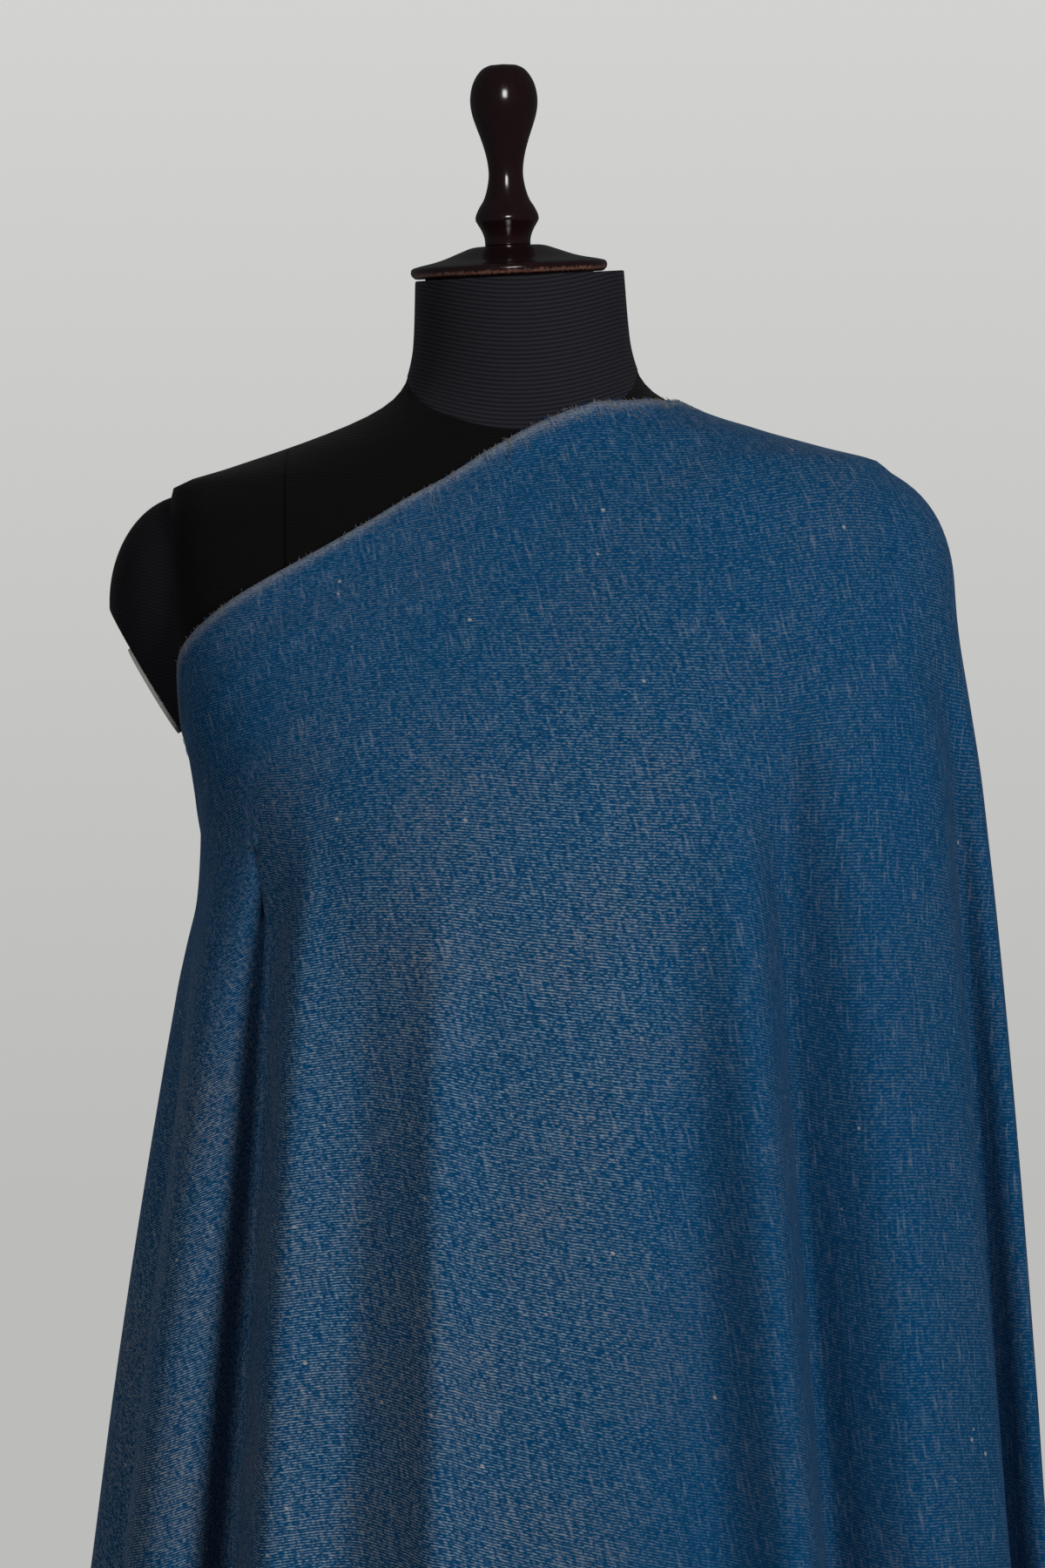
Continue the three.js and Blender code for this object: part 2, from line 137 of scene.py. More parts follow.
HANG: Sequence[HangRing] = (
    HangRing(80, 300, 337, 218, 216, 2.1),
    HangRing(300, 284, 307, 202, 200, 2.1),
    HangRing(500, 268, 275, 186, 182, 2.1),
    HangRing(780, 241.5, 230, 162, 152, 2.1),
    HangRing(870, 238.5, 216.5, 154, 142, 2.1),
    HangRing(1000, 233.5, 195, 144, 128, 2.1),
    HangRing(1080, 229.5, 181, 137, 119, 2.15),
    HangRing(1140, 226, 169, 130, 112, 2.2),
    HangRing(1180, 223, 168, 118, 104, 2.4),
    HangRing(1230, 218, 160, 104, 98, 2.4),
    HangRing(1280, 211, 130, 86, 92, 2.4),
    HangRing(1300, 206, 111, 79, 87, 2.4),
    HangRing(1310, 200.5, 100, 75, 84, 2.4),
    HangRing(1320, 192, 91, 69.5, 79, 2.35),
    HangRing(1330, 178.5, 80, 63, 73, 2.3),
    HangRing(1337, 156, 71, 57, 65, 2.25),
    HangRing(1344, 122, 60, 50, 55, 2.2),
    HangRing(1400, 10, 10, 10, 10, 2),
)

# Turn 180 is the right side, 270 the front, 360 the left side and 450 the middle of the back.
FRONT = 270.0
EDGE: Sequence[EdgePoint] = (
    EdgePoint(100, 1206),
    EdgePoint(150, 1198),
    EdgePoint(172, 1193),
    EdgePoint(184, 1200),
    EdgePoint(192, 1221),
    EdgePoint(197, 1242),
    EdgePoint(203, 1257),
    EdgePoint(210, 1273.5),
    EdgePoint(221, 1297),
    EdgePoint(231, 1314.5),
    EdgePoint(240, 1325.5),
    EdgePoint(255, 1340),
    EdgePoint(270, 1349.5),
    EdgePoint(287, 1357.5),
    EdgePoint(305, 1363),
    EdgePoint(363, 1364.5),
    EdgePoint(380, 1362),
    EdgePoint(405, 1346),
    EdgePoint(430, 1316),
    EdgePoint(450, 1286),
    EdgePoint(470, 1252),
    EdgePoint(490, 1212),
    EdgePoint(508, 1172),
    EdgePoint(525, 1143),
)

FOLD_MEASURED_AT = 780.0
FOLD_HASTE = 0.5  # the smaller, the sooner below its top a fold is full
FOLDS: Sequence[Fold] = (
    Fold(171, 171, 14, 7, 1150),
    Fold(186, 186, -14, 6, 1120),
    Fold(201, 262, 17, 7, 1170),
    Fold(216, 270, -52, 4.2, 1200),
    Fold(222, 262, 14, 4.2, 1180),
    Fold(235, 265, -13, 6, 1120),
    Fold(250, 268, 18, 4.8, 1130),
    Fold(296, 275, -12, 6, 1130),
    Fold(307.5, 280, 21, 5, 1160),
    Fold(318, 290, -38, 4.5, 1260),
    Fold(328, 300, 11, 6, 1250),
    Fold(337, 337, 9, 7, 1250),
    Fold(347, 286, -32, 3.8, 1250),
    Fold(354, 292, 15, 4, 1240),
    Fold(366, 366, 9, 7, 1220),
    Fold(381, 381, -14, 6, 1200),
    Fold(396, 396, 13, 8, 1210),
    Fold(411, 411, -16, 6, 1190),
    Fold(427, 427, 10, 7, 1170),
    Fold(443, 443, -12, 7, 1150),
    Fold(460, 460, 12, 8, 1160),
    Fold(477, 477, -15, 6, 1130),
    Fold(493, 493, 11, 7, 1140),
    Fold(508, 508, -13, 6, 1120),
)


def srgb(code: str) -> tuple[float, float, float, float]:
    """Turns a colour such as "#35506c" into linear red, green, blue and alpha.

    Args:
        code: The colour as six hex digits after a hash.

    Returns:
        The linear colour with an alpha of 1.
    """
    parts = [int(code[i : i + 2], 16) / 255 for i in (1, 3, 5)]
    linear = [c / 12.92 if c <= 0.04045 else ((c + 0.055) / 1.055) ** 2.4 for c in parts]
    return (linear[0], linear[1], linear[2], 1.0)


class SmoothColumn:
    """A column of a table, read between its rows on a smooth monotone curve."""

    def __init__(self, rows: Sequence[object], key: str, column: str) -> None:
        """Prepares the curve.

        Args:
            rows: The table's rows, in rising order of the key.
            key: The name of the field to look up by.
            column: The name of the field to read.
        """
        self.keys = np.array([getattr(row, key) for row in rows], dtype=float)
        self.values = np.array([getattr(row, column) for row in rows], dtype=float)
        slopes = np.diff(self.values) / np.diff(self.keys)
        before, after = slopes[:-1], slopes[1:]
        both = before + after
        safe = np.where(both == 0, 1, both)
        middle = np.where(before * after <= 0, 0, 2 * before * after / safe)
        self.tangents = np.concatenate([slopes[:1], middle, slopes[-1:]])

    def __call__(self, at: np.ndarray) -> np.ndarray:
        """Reads the curve.

        Args:
            at: The keys to look up.

        Returns:
            The value at each key, held level past the ends.
        """
        last = len(self.keys) - 2
        i = np.clip(np.searchsorted(self.keys, at, side="right") - 1, 0, last)
        width = self.keys[i + 1] - self.keys[i]
        t = np.clip((at - self.keys[i]) / width, 0, 1)
        ends = self.values[i] * (1 + 2 * t) * (1 - t) ** 2
        ends = ends + self.values[i + 1] * t * t * (3 - 2 * t)
        leaving = self.tangents[i] * t * (1 - t) ** 2
        arriving = self.tangents[i + 1] * t * t * (1 - t)
        return ends + width * (leaving - arriving)


def section_radius(
    turn: np.ndarray, across: np.ndarray, along: np.ndarray, square: np.ndarray
) -> np.ndarray:
    """Gives the radius of a rounded section towards a turn.

    Args:
        turn: The directions, in degrees.
        across: The section's reach along X.
        along: The section's reach along Y.
        square: 2 for an ellipse, and more for a squarer section.

    Returns:
        The radius towards each turn.
    """
    angle = np.radians(turn)
    total = (np.abs(np.cos(angle)) / across) ** square
    total = total + (np.abs(np.sin(angle)) / along) ** square
    return total ** (-1 / square)


def smoothstep(value: np.ndarray, low: float, high: float) -> np.ndarray:
    """Rises from 0 at low to 1 at high, level at both ends."""
    t = np.clip((value - low) / (high - low), 0, 1)
    return t * t * (3 - 2 * t)


def turn_is_front(turn: np.ndarray) -> np.ndarray:
    """Tells which turns, in degrees, look to the front half."""
    return np.sin(np.radians(turn)) < 0


def soft_max(a: np.ndarray, b: np.ndarray, rounding: float) -> np.ndarray:
    """Gives the larger of two values, with a rounded change from one to the other."""
    return (a + b + np.sqrt((a - b) ** 2 + rounding**2)) / 2


def lean(point: Vector) -> Vector:
    """Tips an upright point with the form, about the top of the post."""
    foot = Vector((0, 0, BODY_BOTTOM))
    return Matrix.Rotation(-LEAN, 3, "Y") @ (point - foot) + foot


@dataclass(frozen=True)
class ArmCap:
    """The rounded cap that closes each armhole, and the slanted cut below it."""

    centre: float = 172
    middle: float = 1271
    out: float = 42
    deep: float = 47
    above: float = 56
    below: float = 73
    cut_outer: tuple[float, float] = (205, 1254)
    cut_inner: tuple[float, float] = (176.5, 1203)
    hidden_face: float = 160  # how far aside the cap ends inside the body
    plate_long: float = 25
    plate_wide: float = 21
    plate_thick: float = 2.4

    def radius(self, turn: np.ndarray, height: np.ndarray) -> np.ndarray:
        """Finds where lines from the form's axis leave the left cap.

        Args:
            turn: The lines' directions, in degrees.
            height: Their heights.

        Returns:
            The radius of each crossing, or 0 where a line misses the cap.
        """
        tall = np.where(height > self.middle, self.above, self.below)
        room = 1 - ((height - self.middle) / tall) ** 2
        dx, dy = np.cos(np.radians(turn)), np.sin(np.radians(turn))
        a = (dx / self.out) ** 2 + (dy / self.deep) ** 2
        b = -2 * dx * self.centre / self.out**2
        under = b * b - 4 * a * ((self.centre / self.out) ** 2 - room)
        meets = (room > 0) & (dx > 0) & (under > 0)
        return np.where(meets, (-b + np.sqrt(np.maximum(under, 0))) / (2 * a), 0)


@dataclass
class Drape:
    """The surface in which the shawl hangs, as a radius at each turn and height."""

    rest_gap: float = 0.7
    crease_rounding: float = 4
    layer_step: float = 5.5
    overlap: tuple[float, float] = (432, 462)  # the turns between which it lifts over itself
    steepest: float = 3.2
    fall_step: float = 2.0  # in height, when the cloth is followed down
    cap: ArmCap = field(default_factory=ArmCap)

    def __post_init__(self) -> None:
        """Reads the tables."""
        depths = ("front", "back", "square")
        self.form = {name: SmoothColumn(FORM, "height", name) for name in ("side", *depths)}
        self.hang = {name: SmoothColumn(HANG, "height", name) for name in ("left", "right", *depths)}
        self.edge = SmoothColumn(EDGE, "turn", "height")

    def form_radius(self, turn: np.ndarray, height: np.ndarray) -> np.ndarray:
        """Gives the radius of the form's body."""
        depth = np.where(turn_is_front(turn), self.form["front"](height), self.form["back"](height))
        return section_radius(turn, self.form["side"](height), depth, self.form["square"](height))

    def under(self, turn: np.ndarray, height: np.ndarray) -> np.ndarray:
        """Gives the radius of what can carry the cloth: the body and the left arm cap."""
        return np.maximum(self.form_radius(turn, height), self.cap.radius(turn, height))

    def carried(self, turn: np.ndarray, height: np.ndarray) -> np.ndarray:
        """Gives the radius at which the cloth lies on the form, with a small gap square to it.

        Args:
            turn: Turns about the form's axis, in degrees.
            height: Heights on the upright form.

        Returns:
            The radius at each.
        """
        radius = self.under(turn, height)
        slope = (self.under(turn, height + 1) - self.under(turn, height - 1)) / 2
        skew = self.under(turn + 1, height) - self.under(turn - 1, height)
        skew = skew / (math.radians(2) * radius)
        tilt = np.minimum(np.sqrt(1 + slope**2 + skew**2), self.steepest)
        return radius + self.rest_gap * tilt

    def folds_out(self, turn: np.ndarray, height: np.ndarray) -> tuple[np.ndarray, np.ndarray]:
        """Gives how far the large folds move the cloth.

        Args:
            turn: Turns about the form's axis, in degrees.
            height: Heights on the upright form.

        Returns:
            The move along X and along Y at each.
        """
        x, y = np.zeros_like(turn), np.zeros_like(turn)
        for fold in FOLDS:
            apart = (turn - fold.turn + 180) % 360 - 180
            below = np.maximum(0, fold.dies_at - height) / (fold.dies_at - FOLD_MEASURED_AT)
            grown = (1 + FOLD_HASTE) * below / (below + FOLD_HASTE)
            out = fold.out * grown * np.exp(-((apart / fold.width) ** 2))
            x = x + out * math.cos(math.radians(fold.aim))
            y = y + out * math.sin(math.radians(fold.aim))
        return x, y

    def place(self, turn: np.ndarray, height: np.ndarray) -> tuple[np.ndarray, np.ndarray]:
        """Gives the place of the cloth's inner face.

        Args:
            turn: Turns about the form's axis, in degrees.
            height: Heights on the upright form.

        Returns:
            The cloth's X and Y at each.
        """
        angle = np.radians(turn)
        across = np.where(np.cos(angle) > 0, self.hang["left"](height), self.hang["right"](height))
        along = np.where(turn_is_front(turn), self.hang["front"](height), self.hang["back"](height))
        free = section_radius(turn, across, along, self.hang["square"](height))
        x, y = self.folds_out(turn, height)
        x, y = x + free * np.cos(angle), y + free * np.sin(angle)
        length = np.hypot(x, y)
        lift = self.layer_step * smoothstep(turn, *self.overlap)
        carried = self.carried(np.degrees(np.arctan2(y, x)), height)
        radius = soft_max(carried, length, self.crease_rounding) + lift
        return radius * x / length, radius * y / length

    def fall_lines(self, turns: np.ndarray, down: np.ndarray) -> np.ndarray:
        """Follows the cloth down from its top edge.

        Args:
            turns: The turn of each line.
            down: Distances along the cloth from the edge, rising from 0.

        Returns:
            The upright points, by row, line and axis.
        """
        step = self.fall_step
        height = self.edge(turns)
        x, y = self.place(turns, height)
        travelled = np.zeros_like(turns)
        trail = [(travelled, x, y, height)]
        while travelled.min() < down[-1]:
            height = height - step
            next_x, next_y = self.place(turns, height)
            travelled = travelled + np.sqrt((next_x - x) ** 2 + (next_y - y) ** 2 + step**2)
            x, y = next_x, next_y
            trail.append((travelled, x, y, height))
        columns = np.array(trail).transpose(2, 1, 0)
        lines = [[np.interp(down, column[0], part) for part in column[1:]] for column in columns]
        return np.array(lines).transpose(2, 0, 1)


class Weave(Enum):
    """The fabrics, by the spacing of their ribs in millimetres.

    The ribs of the torso are too fine to show, so they are drawn this coarse.
    """

    TWILL = 1.5
    NECK_RIB = 2.2
    CAP_RIB = 1.8
    TORSO_RIB = 1.2


# Settings that many nodes share
MULTIPLY_ADD = {"operation": "MULTIPLY_ADD"}
ABSOLUTE = {"operation": "ABSOLUTE"}
COLOURS = {"data_type": "RGBA"}
SMOOTH = {"interpolation_type": "SMOOTHSTEP"}


class NodeWriter:
    """A material's node tree, written from its output backwards."""

    def __init__(self, name: str) -> None:
        """Starts a material.

        Args:
            name: The material's name.
        """
        self.material = bpy.data.materials.new(name)
        self.material.use_nodes = True
        self.tree = self.material.node_tree
        self.tree.nodes.clear()
        self.output = self.tree.nodes.new("ShaderNodeOutputMaterial")

    def add(self, kind: str, settings: Optional[dict] = None, **inputs: object) -> bpy.types.Node:
        """Adds a node with its settings and links.

        Args:
            kind: The node's type, without its ShaderNode prefix.
            settings: The node's own properties.
            **inputs: A value or an output socket for each input, its spaces written as
                underscores, or i0, i1 and so on for an input by number.

        Returns:
            The new node.
        """
        node = self.tree.nodes.new("ShaderNode" + kind)
        for key, value in (settings or {}).items():
            setattr(node, key, value)
        for key, value in inputs.items():
            by_number = key[0] == "i" and key[1:].isdigit()
            socket = node.inputs[int(key[1:])] if by_number else node.inputs[key.replace("_", " ")]
            if isinstance(value, bpy.types.NodeSocket):
                self.tree.links.new(value, socket)
            else:
                socket.default_value = value
        return node

    def finish(self, shader: bpy.types.Node) -> bpy.types.Material:
        """Links the shader to the output.

        Args:
            shader: The node that gives the surface.

        Returns:
            The finished material.
        """
        self.tree.links.new(shader.outputs[0], self.output.inputs["Surface"])
        return self.material


@dataclass(frozen=True)
class WoolTwill:
    """Brushed wool twill, woven with a blue warp and a pale weft.

    To the eye it is matt blue, flecked with short pale dashes along its slanting twill lines, with
    slubs here and there and a little down.
    """

    warp: str = "#074873"
    warp_deep: str = "#023254"
    weft: str = "#9db1bc"
    weft_warm: str = "#b3a99a"
    slub: str = "#bdb5aa"
    down_tint: str = "#9fb4cf"
    rib: float = Weave.TWILL.value * MM
    twill_slope: float = 0.42  # of the twill lines from the top edge
    sway: float = 7.6 * MM  # how far the lines bend to and fro
    sway_pace: float = 15.7  # in radians for each metre along the edge
    sway_start: float = -0.63
    darker_stretch_slant: float = 0.36  # of the darker, bluer stretch over the left arm from the fall of the cloth: partly the weave's own tone, partly painted shade

    def build(self) -> bpy.types.Material:
        """Writes the material, on a UV map that is the cloth's own flat metres.

        Returns:
            The material.
        """
        w = NodeWriter("wool_twill_brushed")
        uv = w.add("UVMap", {"uv_map": "cloth"}).outputs[0]
        axes = w.add("SeparateXYZ", Vector=uv)
        along, down = axes.outputs["X"], axes.outputs["Y"]
        phase = w.add("Math", MULTIPLY_ADD, i0=along, i1=self.sway_pace, i2=self.sway_start)
        bend = w.add("Math", {"operation": "SINE"}, i0=phase.outputs[0])
        sunk = w.add("Math", MULTIPLY_ADD, i0=along, i1=-self.twill_slope, i2=down)
        sunk = w.add("Math", MULTIPLY_ADD, i0=bend.outputs[0], i1=self.sway, i2=sunk.outputs[0])
        # In this frame X runs across the twill lines and Y along them.
        twill = w.add("CombineXYZ", X=sunk.outputs[0], Y=along).outputs[0]
        mixed = w.add(
            "TexWave",
            {"wave_type": "BANDS", "bands_direction": "X", "wave_profile": "SIN"},
            Vector=twill,
            Scale=2 * math.pi / (20 * self.rib),
            Distortion=1.1,
            Detail=1.0,
            Detail_Scale=0.8,
        ).outputs["Fac"]
        # The threads are too fine to show, so a dash stands for a few of them. Clumps and patches
        # make the weave uneven, and streaks lie along the warp, which hangs down. Each has its
        # frame, its size in millimetres, how far it is drawn out, its detail and its share.
        parts: dict[str, bpy.types.NodeSocket] = {}
        for name, base, size, stretch, detail, share in (
            ("dashes", twill, 0.9, 2.2, 1.0, 2.8),
            ("clumps", twill, 2.2, 2.4, 3.0, 1.7),
            ("streaks", uv, 1.7, 9, 3.0, 0.6),
            ("patches", uv, 70, 1, 4.0, 0.5),
        ):
            drawn = w.add("Mapping", Vector=base, Scale=(1, 1 / stretch, 1))
            noise = w.add("TexNoise", Vector=drawn.outputs[0], Scale=1 / (size * MM), Detail=detail)
            parts[name] = noise.outputs["Fac"]
            mixed = w.add("Math", MULTIPLY_ADD, i0=parts[name], i1=share, i2=mixed).outputs[0]
        # Less of the weft shows over the chest and the left arm, which makes them darker and bluer: partly
        # the weave's own tone, partly painted shade.
        skewed = w.add("Math", MULTIPLY_ADD, i0=down, i1=self.darker_stretch_slant, i2=along)
        shown: object = 0.17
        for value, low, high, least in (
            (skewed.outputs[0], 0.06, 0.17, 0.54),
            (down, 0.04, 0.3, 0.2),
            (mixed, 3.2, 4.2, 0.0),
        ):
            shown = w.add(
                "MapRange",
                SMOOTH,
                Value=value,
                From_Min=low,
                From_Max=high,
                To_Min=least,
                To_Max=shown,
            ).outputs[0]
        blue = w.add(
            "Mix", COLOURS, Factor=parts["streaks"], i6=srgb(self.warp_deep), i7=srgb(self.warp)
        )
        warmth = w.add(
            "MapRange", SMOOTH, Value=parts["patches"], From_Min=0.38, From_Max=0.68, To_Max=0.65
        )
        pale = w.add(
            "Mix", COLOURS, Factor=warmth.outputs[0], i6=srgb(self.weft), i7=srgb(self.weft_warm)
        )
        colour = w.add("Mix", COLOURS, Factor=shown, i6=blue.outputs[2], i7=pale.outputs[2])
        ragged = w.add("Math", MULTIPLY_ADD, i0=parts["dashes"], i1=20 * MM, i2=down)
        knots, dark_knots = (
            w.add("TexVoronoi", {"feature": "F1"}, Vector=twill, Scale=1 / (apart * MM), Randomness=1.0)
            for apart in (24, 38)
        )
        # Over the weave lie pale streaks of brushed warp ends, the worn last millimetres of the long
        # edge, beige slubs and fewer dark ones.
        for value, low, high, most, tint in (
            (parts["streaks"], 0.58, 0.7, 0.1, self.weft_warm),
            (ragged.outputs[0], 18 * MM, 9 * MM, 0.3, self.slub),
            (knots.outputs["Distance"], 0.055, 0.03, 0.5, self.slub),
            (dark_knots.outputs["Distance"], 0.06, 0.03, 0.5, self.warp_deep),
        ):
            share = w.add("MapRange", SMOOTH, Value=value, From_Min=low, From_Max=high, To_Max=most)
            colour = w.add("Mix", COLOURS, Factor=share.outputs[0], i6=colour.outputs[2], i7=srgb(tint))
        relief = w.add("Bump", Strength=0.6, Distance=0.35 * MM, Height=shown)
        shader = w.add(
            "BsdfPrincipled",
            Base_Color=colour.outputs[2],
            Roughness=0.92,
            IOR=1.45,
            Specular_IOR_Level=0.2,
            Sheen_Weight=0.12,
            Sheen_Roughness=0.45,
            Sheen_Tint=srgb(self.down_tint),
            Normal=relief.outputs[0],
        )
        return w.finish(shader)


@dataclass(frozen=True)
class PaleWool:
    """Loose spun wool, the edge's thread ends: a matt pale fringe with some blue in it."""

    pale: str = "#8f8b84"
    blue: str = "#2c4a70"

    def build(self) -> bpy.types.Material:
        """Writes the material.

        Returns:
            The material.
        """
        w = NodeWriter("wool_thread_ends")
        place = w.add("TexCoord").outputs["Object"]
        sorts = w.add("TexNoise", Vector=place, Scale=1 / (5 * MM), Detail=1.0)
        share = w.add("MapRange", Value=sorts.outputs["Fac"], From_Min=0.44, From_Max=0.56)
        colour = w.add(
            "Mix", COLOURS, Factor=share.outputs[0], i6=srgb(self.blue), i7=srgb(self.pale)
        )
        shader = w.add("BsdfPrincipled", Base_Color=colour.outputs[2], Roughness=0.95)
        return w.finish(shader)


@dataclass(frozen=True)
class RibbedJersey:
    """Black knitted jersey stretched over padding.

    To the eye it is a matt black that fine ribs, level round the form, make a little grey; their crests
    are painted lighter, a painted highlight.
    """

    name: str
    rib: Weave
    colour: str
    highlight: str
    lift: float  # how far the ribs rise from the middle to where they are measured
    seam_at: float = 0.0  # how far aside a sewn seam runs down, or 0 for none
    lift_measured_at: float = 50.0
    seam_width: float = 1.1
    seam_colour: str = "#020202"

    def build(self) -> bpy.types.Material:
        """Writes the material on Object coordinates, level with the leaning form.

        Returns:
            The material.
        """
        w = NodeWriter(self.name)
        place = w.add("TexCoord").outputs["Object"]
        foot = Vector((-math.sin(LEAN), 0, 1 - math.cos(LEAN))) * BODY_BOTTOM * MM
        upright = w.add("Mapping", Vector=place, Location=foot, Rotation=(0, LEAN, 0))
        axes = w.add("SeparateXYZ", Vector=upright.outputs[0])
        aside = w.add("Math", {"operation": "MULTIPLY"}, i0=axes.outputs["X"], i1=axes.outputs["X"])
        curve = -self.lift / self.lift_measured_at**2 / MM
        level = w.add("Math", MULTIPLY_ADD, i0=aside.outputs[0], i1=curve, i2=axes.outputs["Z"])
        height = w.add("CombineXYZ", Z=level.outputs[0])
        ribs = w.add(
            "TexWave",
            {"wave_type": "BANDS", "bands_direction": "Z", "wave_profile": "SIN"},
            Vector=height.outputs[0],
            Scale=2 * math.pi / (20 * self.rib.value * MM),
            Distortion=0.0,
        )
        grain = w.add("TexNoise", Vector=place, Scale=1 / (0.8 * MM), Detail=2.0)
        mixed = w.add("Math", MULTIPLY_ADD, i0=grain.outputs["Fac"], i1=0.5, i2=ribs.outputs["Fac"])
        # The rib crests take the highlight colour, a painted highlight, and a fine grain varies the tone
        # at random.
        tone = w.add("MapRange", Value=mixed.outputs[0], From_Min=0.2, From_Max=1.4)
        colour = w.add(
            "Mix", COLOURS, Factor=tone.outputs[0], i6=srgb(self.colour), i7=srgb(self.highlight)
        )
        if self.seam_at:
            side = w.add("Math", ABSOLUTE, i0=axes.outputs["X"])
            from_seam = w.add(
                "Math", {"operation": "SUBTRACT"}, i0=side.outputs[0], i1=self.seam_at * MM
            )
            apart = w.add("Math", ABSOLUTE, i0=from_seam.outputs[0])
            clear = w.add("MapRange", Value=apart.outputs[0], From_Max=self.seam_width * MM)
            colour = w.add(
                "Mix", COLOURS, Factor=clear.outputs[0], i6=srgb(self.seam_colour), i7=colour.outputs[2]
            )
            mixed = w.add("Math", MULTIPLY_ADD, i0=clear.outputs[0], i1=2.0, i2=mixed.outputs[0])
        relief = w.add("Bump", Strength=0.5, Distance=0.3 * MM, Height=mixed.outputs[0])
        shader = w.add(
            "BsdfPrincipled",
            Base_Color=colour.outputs[2],
            Roughness=0.85,
            Specular_IOR_Level=0.15,
            Sheen_Weight=0.03,
            Sheen_Roughness=0.5,
            Normal=relief.outputs[0],
        )
        return w.finish(shader)


@dataclass(frozen=True)
class LacqueredMahogany:
    """Turned mahogany under dark gloss lacquer, rubbed through along the rim.

    To the eye it is nearly black with a red cast and small bright highlights, and brown where bare.
    """

    dark: str = "#0e0507"
    grain: str = "#230b0d"
    bare: str = "#8a6152"

    def build(self) -> bpy.types.Material:
        """Writes the material. A vertex attribute named wear says where the lacquer is rubbed.

        Returns:
            The material.
        """
        w = NodeWriter("mahogany_gloss_lacquer")
        place = w.add("TexCoord").outputs["Object"]
        long_way = w.add("Mapping", Vector=place, Scale=(1, 1, 0.08))
        grain = w.add("TexNoise", Vector=long_way.outputs[0], Scale=1 / (2.4 * MM), Detail=5.0)
        wood = w.add(
            "Mix", COLOURS, Factor=grain.outputs["Fac"], i6=srgb(self.dark), i7=srgb(self.grain)
        )
        rubbed = w.add("Attribute", {"attribute_name": "wear"})
        chips = w.add("TexNoise", Vector=place, Scale=1 / (1.6 * MM), Detail=4.0, Roughness=0.7)
        amount = w.add(
            "Math", {"operation": "ADD"}, i0=rubbed.outputs["Fac"], i1=chips.outputs["Fac"]
        )
        bare = w.add("MapRange", Value=amount.outputs[0], From_Min=0.95, From_Max=1.35)
        colour = w.add("Mix", COLOURS, Factor=bare.outputs[0], i6=wood.outputs[2], i7=srgb(self.bare))
        rough = w.add("MapRange", Value=bare.outputs[0], To_Min=0.16, To_Max=0.6)
        shader = w.add(
            "BsdfPrincipled",
            Base_Color=colour.outputs[2],
            Roughness=rough.outputs[0],
            IOR=1.5,
            Coat_Weight=1.0,
            Coat_IOR=1.8,
            Coat_Roughness=0.16,
        )
        return w.finish(shader)


@dataclass(frozen=True)
class SatinPaint:
    """Black paint sprayed on steel and cast iron: a soft shine broken by a faint orange peel."""

    name: str
    colour: str = "#17171a"
    dusty: str = "#232326"
    peel: float = 1.6

    def build(self) -> bpy.types.Material:
        """Writes the material.

        Returns:
            The material.
        """
        w = NodeWriter(self.name)
        place = w.add("TexCoord").outputs["Object"]
        peel = w.add("TexNoise", Vector=place, Scale=1 / (self.peel * MM), Detail=2.0)
        dust = w.add("TexNoise", Vector=place, Scale=1 / (70 * MM), Detail=4.0)
        colour = w.add(
            "Mix", COLOURS, Factor=dust.outputs["Fac"], i6=srgb(self.colour), i7=srgb(self.dusty)
        )
        rough = w.add("MapRange", Value=dust.outputs["Fac"], To_Min=0.34, To_Max=0.52)
        relief = w.add("Bump", Strength=0.12, Distance=0.2 * MM, Height=peel.outputs["Fac"])
        shader = w.add(
            "BsdfPrincipled",
            Base_Color=colour.outputs[2],
            Roughness=rough.outputs[0],
            Normal=relief.outputs[0],
        )
        return w.finish(shader)


@dataclass(frozen=True)
class PaperBoard:
    """Pressed paper board on the arm caps' cuts: off-white and matt, with a faint fibre."""

    light: str = "#c9c8c4"
    dark: str = "#aeaca6"

    def build(self) -> bpy.types.Material:
        """Writes the material.

        Returns:
            The material.
        """
        w = NodeWriter("board_off_white")
        place = w.add("TexCoord").outputs["Object"]
        fibre = w.add("TexNoise", Vector=place, Scale=1 / (2 * MM), Detail=4.0)
        colour = w.add(
            "Mix", COLOURS, Factor=fibre.outputs["Fac"], i6=srgb(self.dark), i7=srgb(self.light)
        )
        relief = w.add("Bump", Strength=0.2, Distance=0.1 * MM, Height=fibre.outputs["Fac"])
        shader = w.add(
            "BsdfPrincipled", Base_Color=colour.outputs[2], Roughness=0.75, Normal=relief.outputs[0]
        )
        return w.finish(shader)


def make_piece(
    bm: bmesh.types.BMesh,
    name: str,
    material: bpy.types.Material,
    replaced: Sequence[str] = (),
) -> bpy.types.Object:
    """Turns a mesh in millimetres into a finished piece on the form's body.

    Args:
        bm: The mesh, which is freed.
        name: The piece's name.
        material: Its finish.
        replaced: The nodes that the piece stands for.

    Returns:
        The new object, at the origin.
    """
    bmesh.ops.scale(bm, vec=(MM, MM, MM), verts=bm.verts)
    mesh = bpy.data.meshes.new(name)
    bm.to_mesh(mesh)
    bm.free()
    mesh.shade_smooth()
    mesh.materials.append(material)
    piece = bpy.data.objects.new(name, mesh)
    bpy.context.scene.collection.objects.link(piece)
    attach(piece, ROOT)
    if replaced:
        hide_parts(*replaced)
    log.info("%s: %d faces", name, len(mesh.polygons))
    return piece


def close_up(bm: bmesh.types.BMesh) -> None:
    """Merges what lies together in a closed mesh and points its faces out."""
    bmesh.ops.remove_doubles(bm, verts=bm.verts, dist=0.01)
    bmesh.ops.recalc_face_normals(bm, faces=bm.faces)


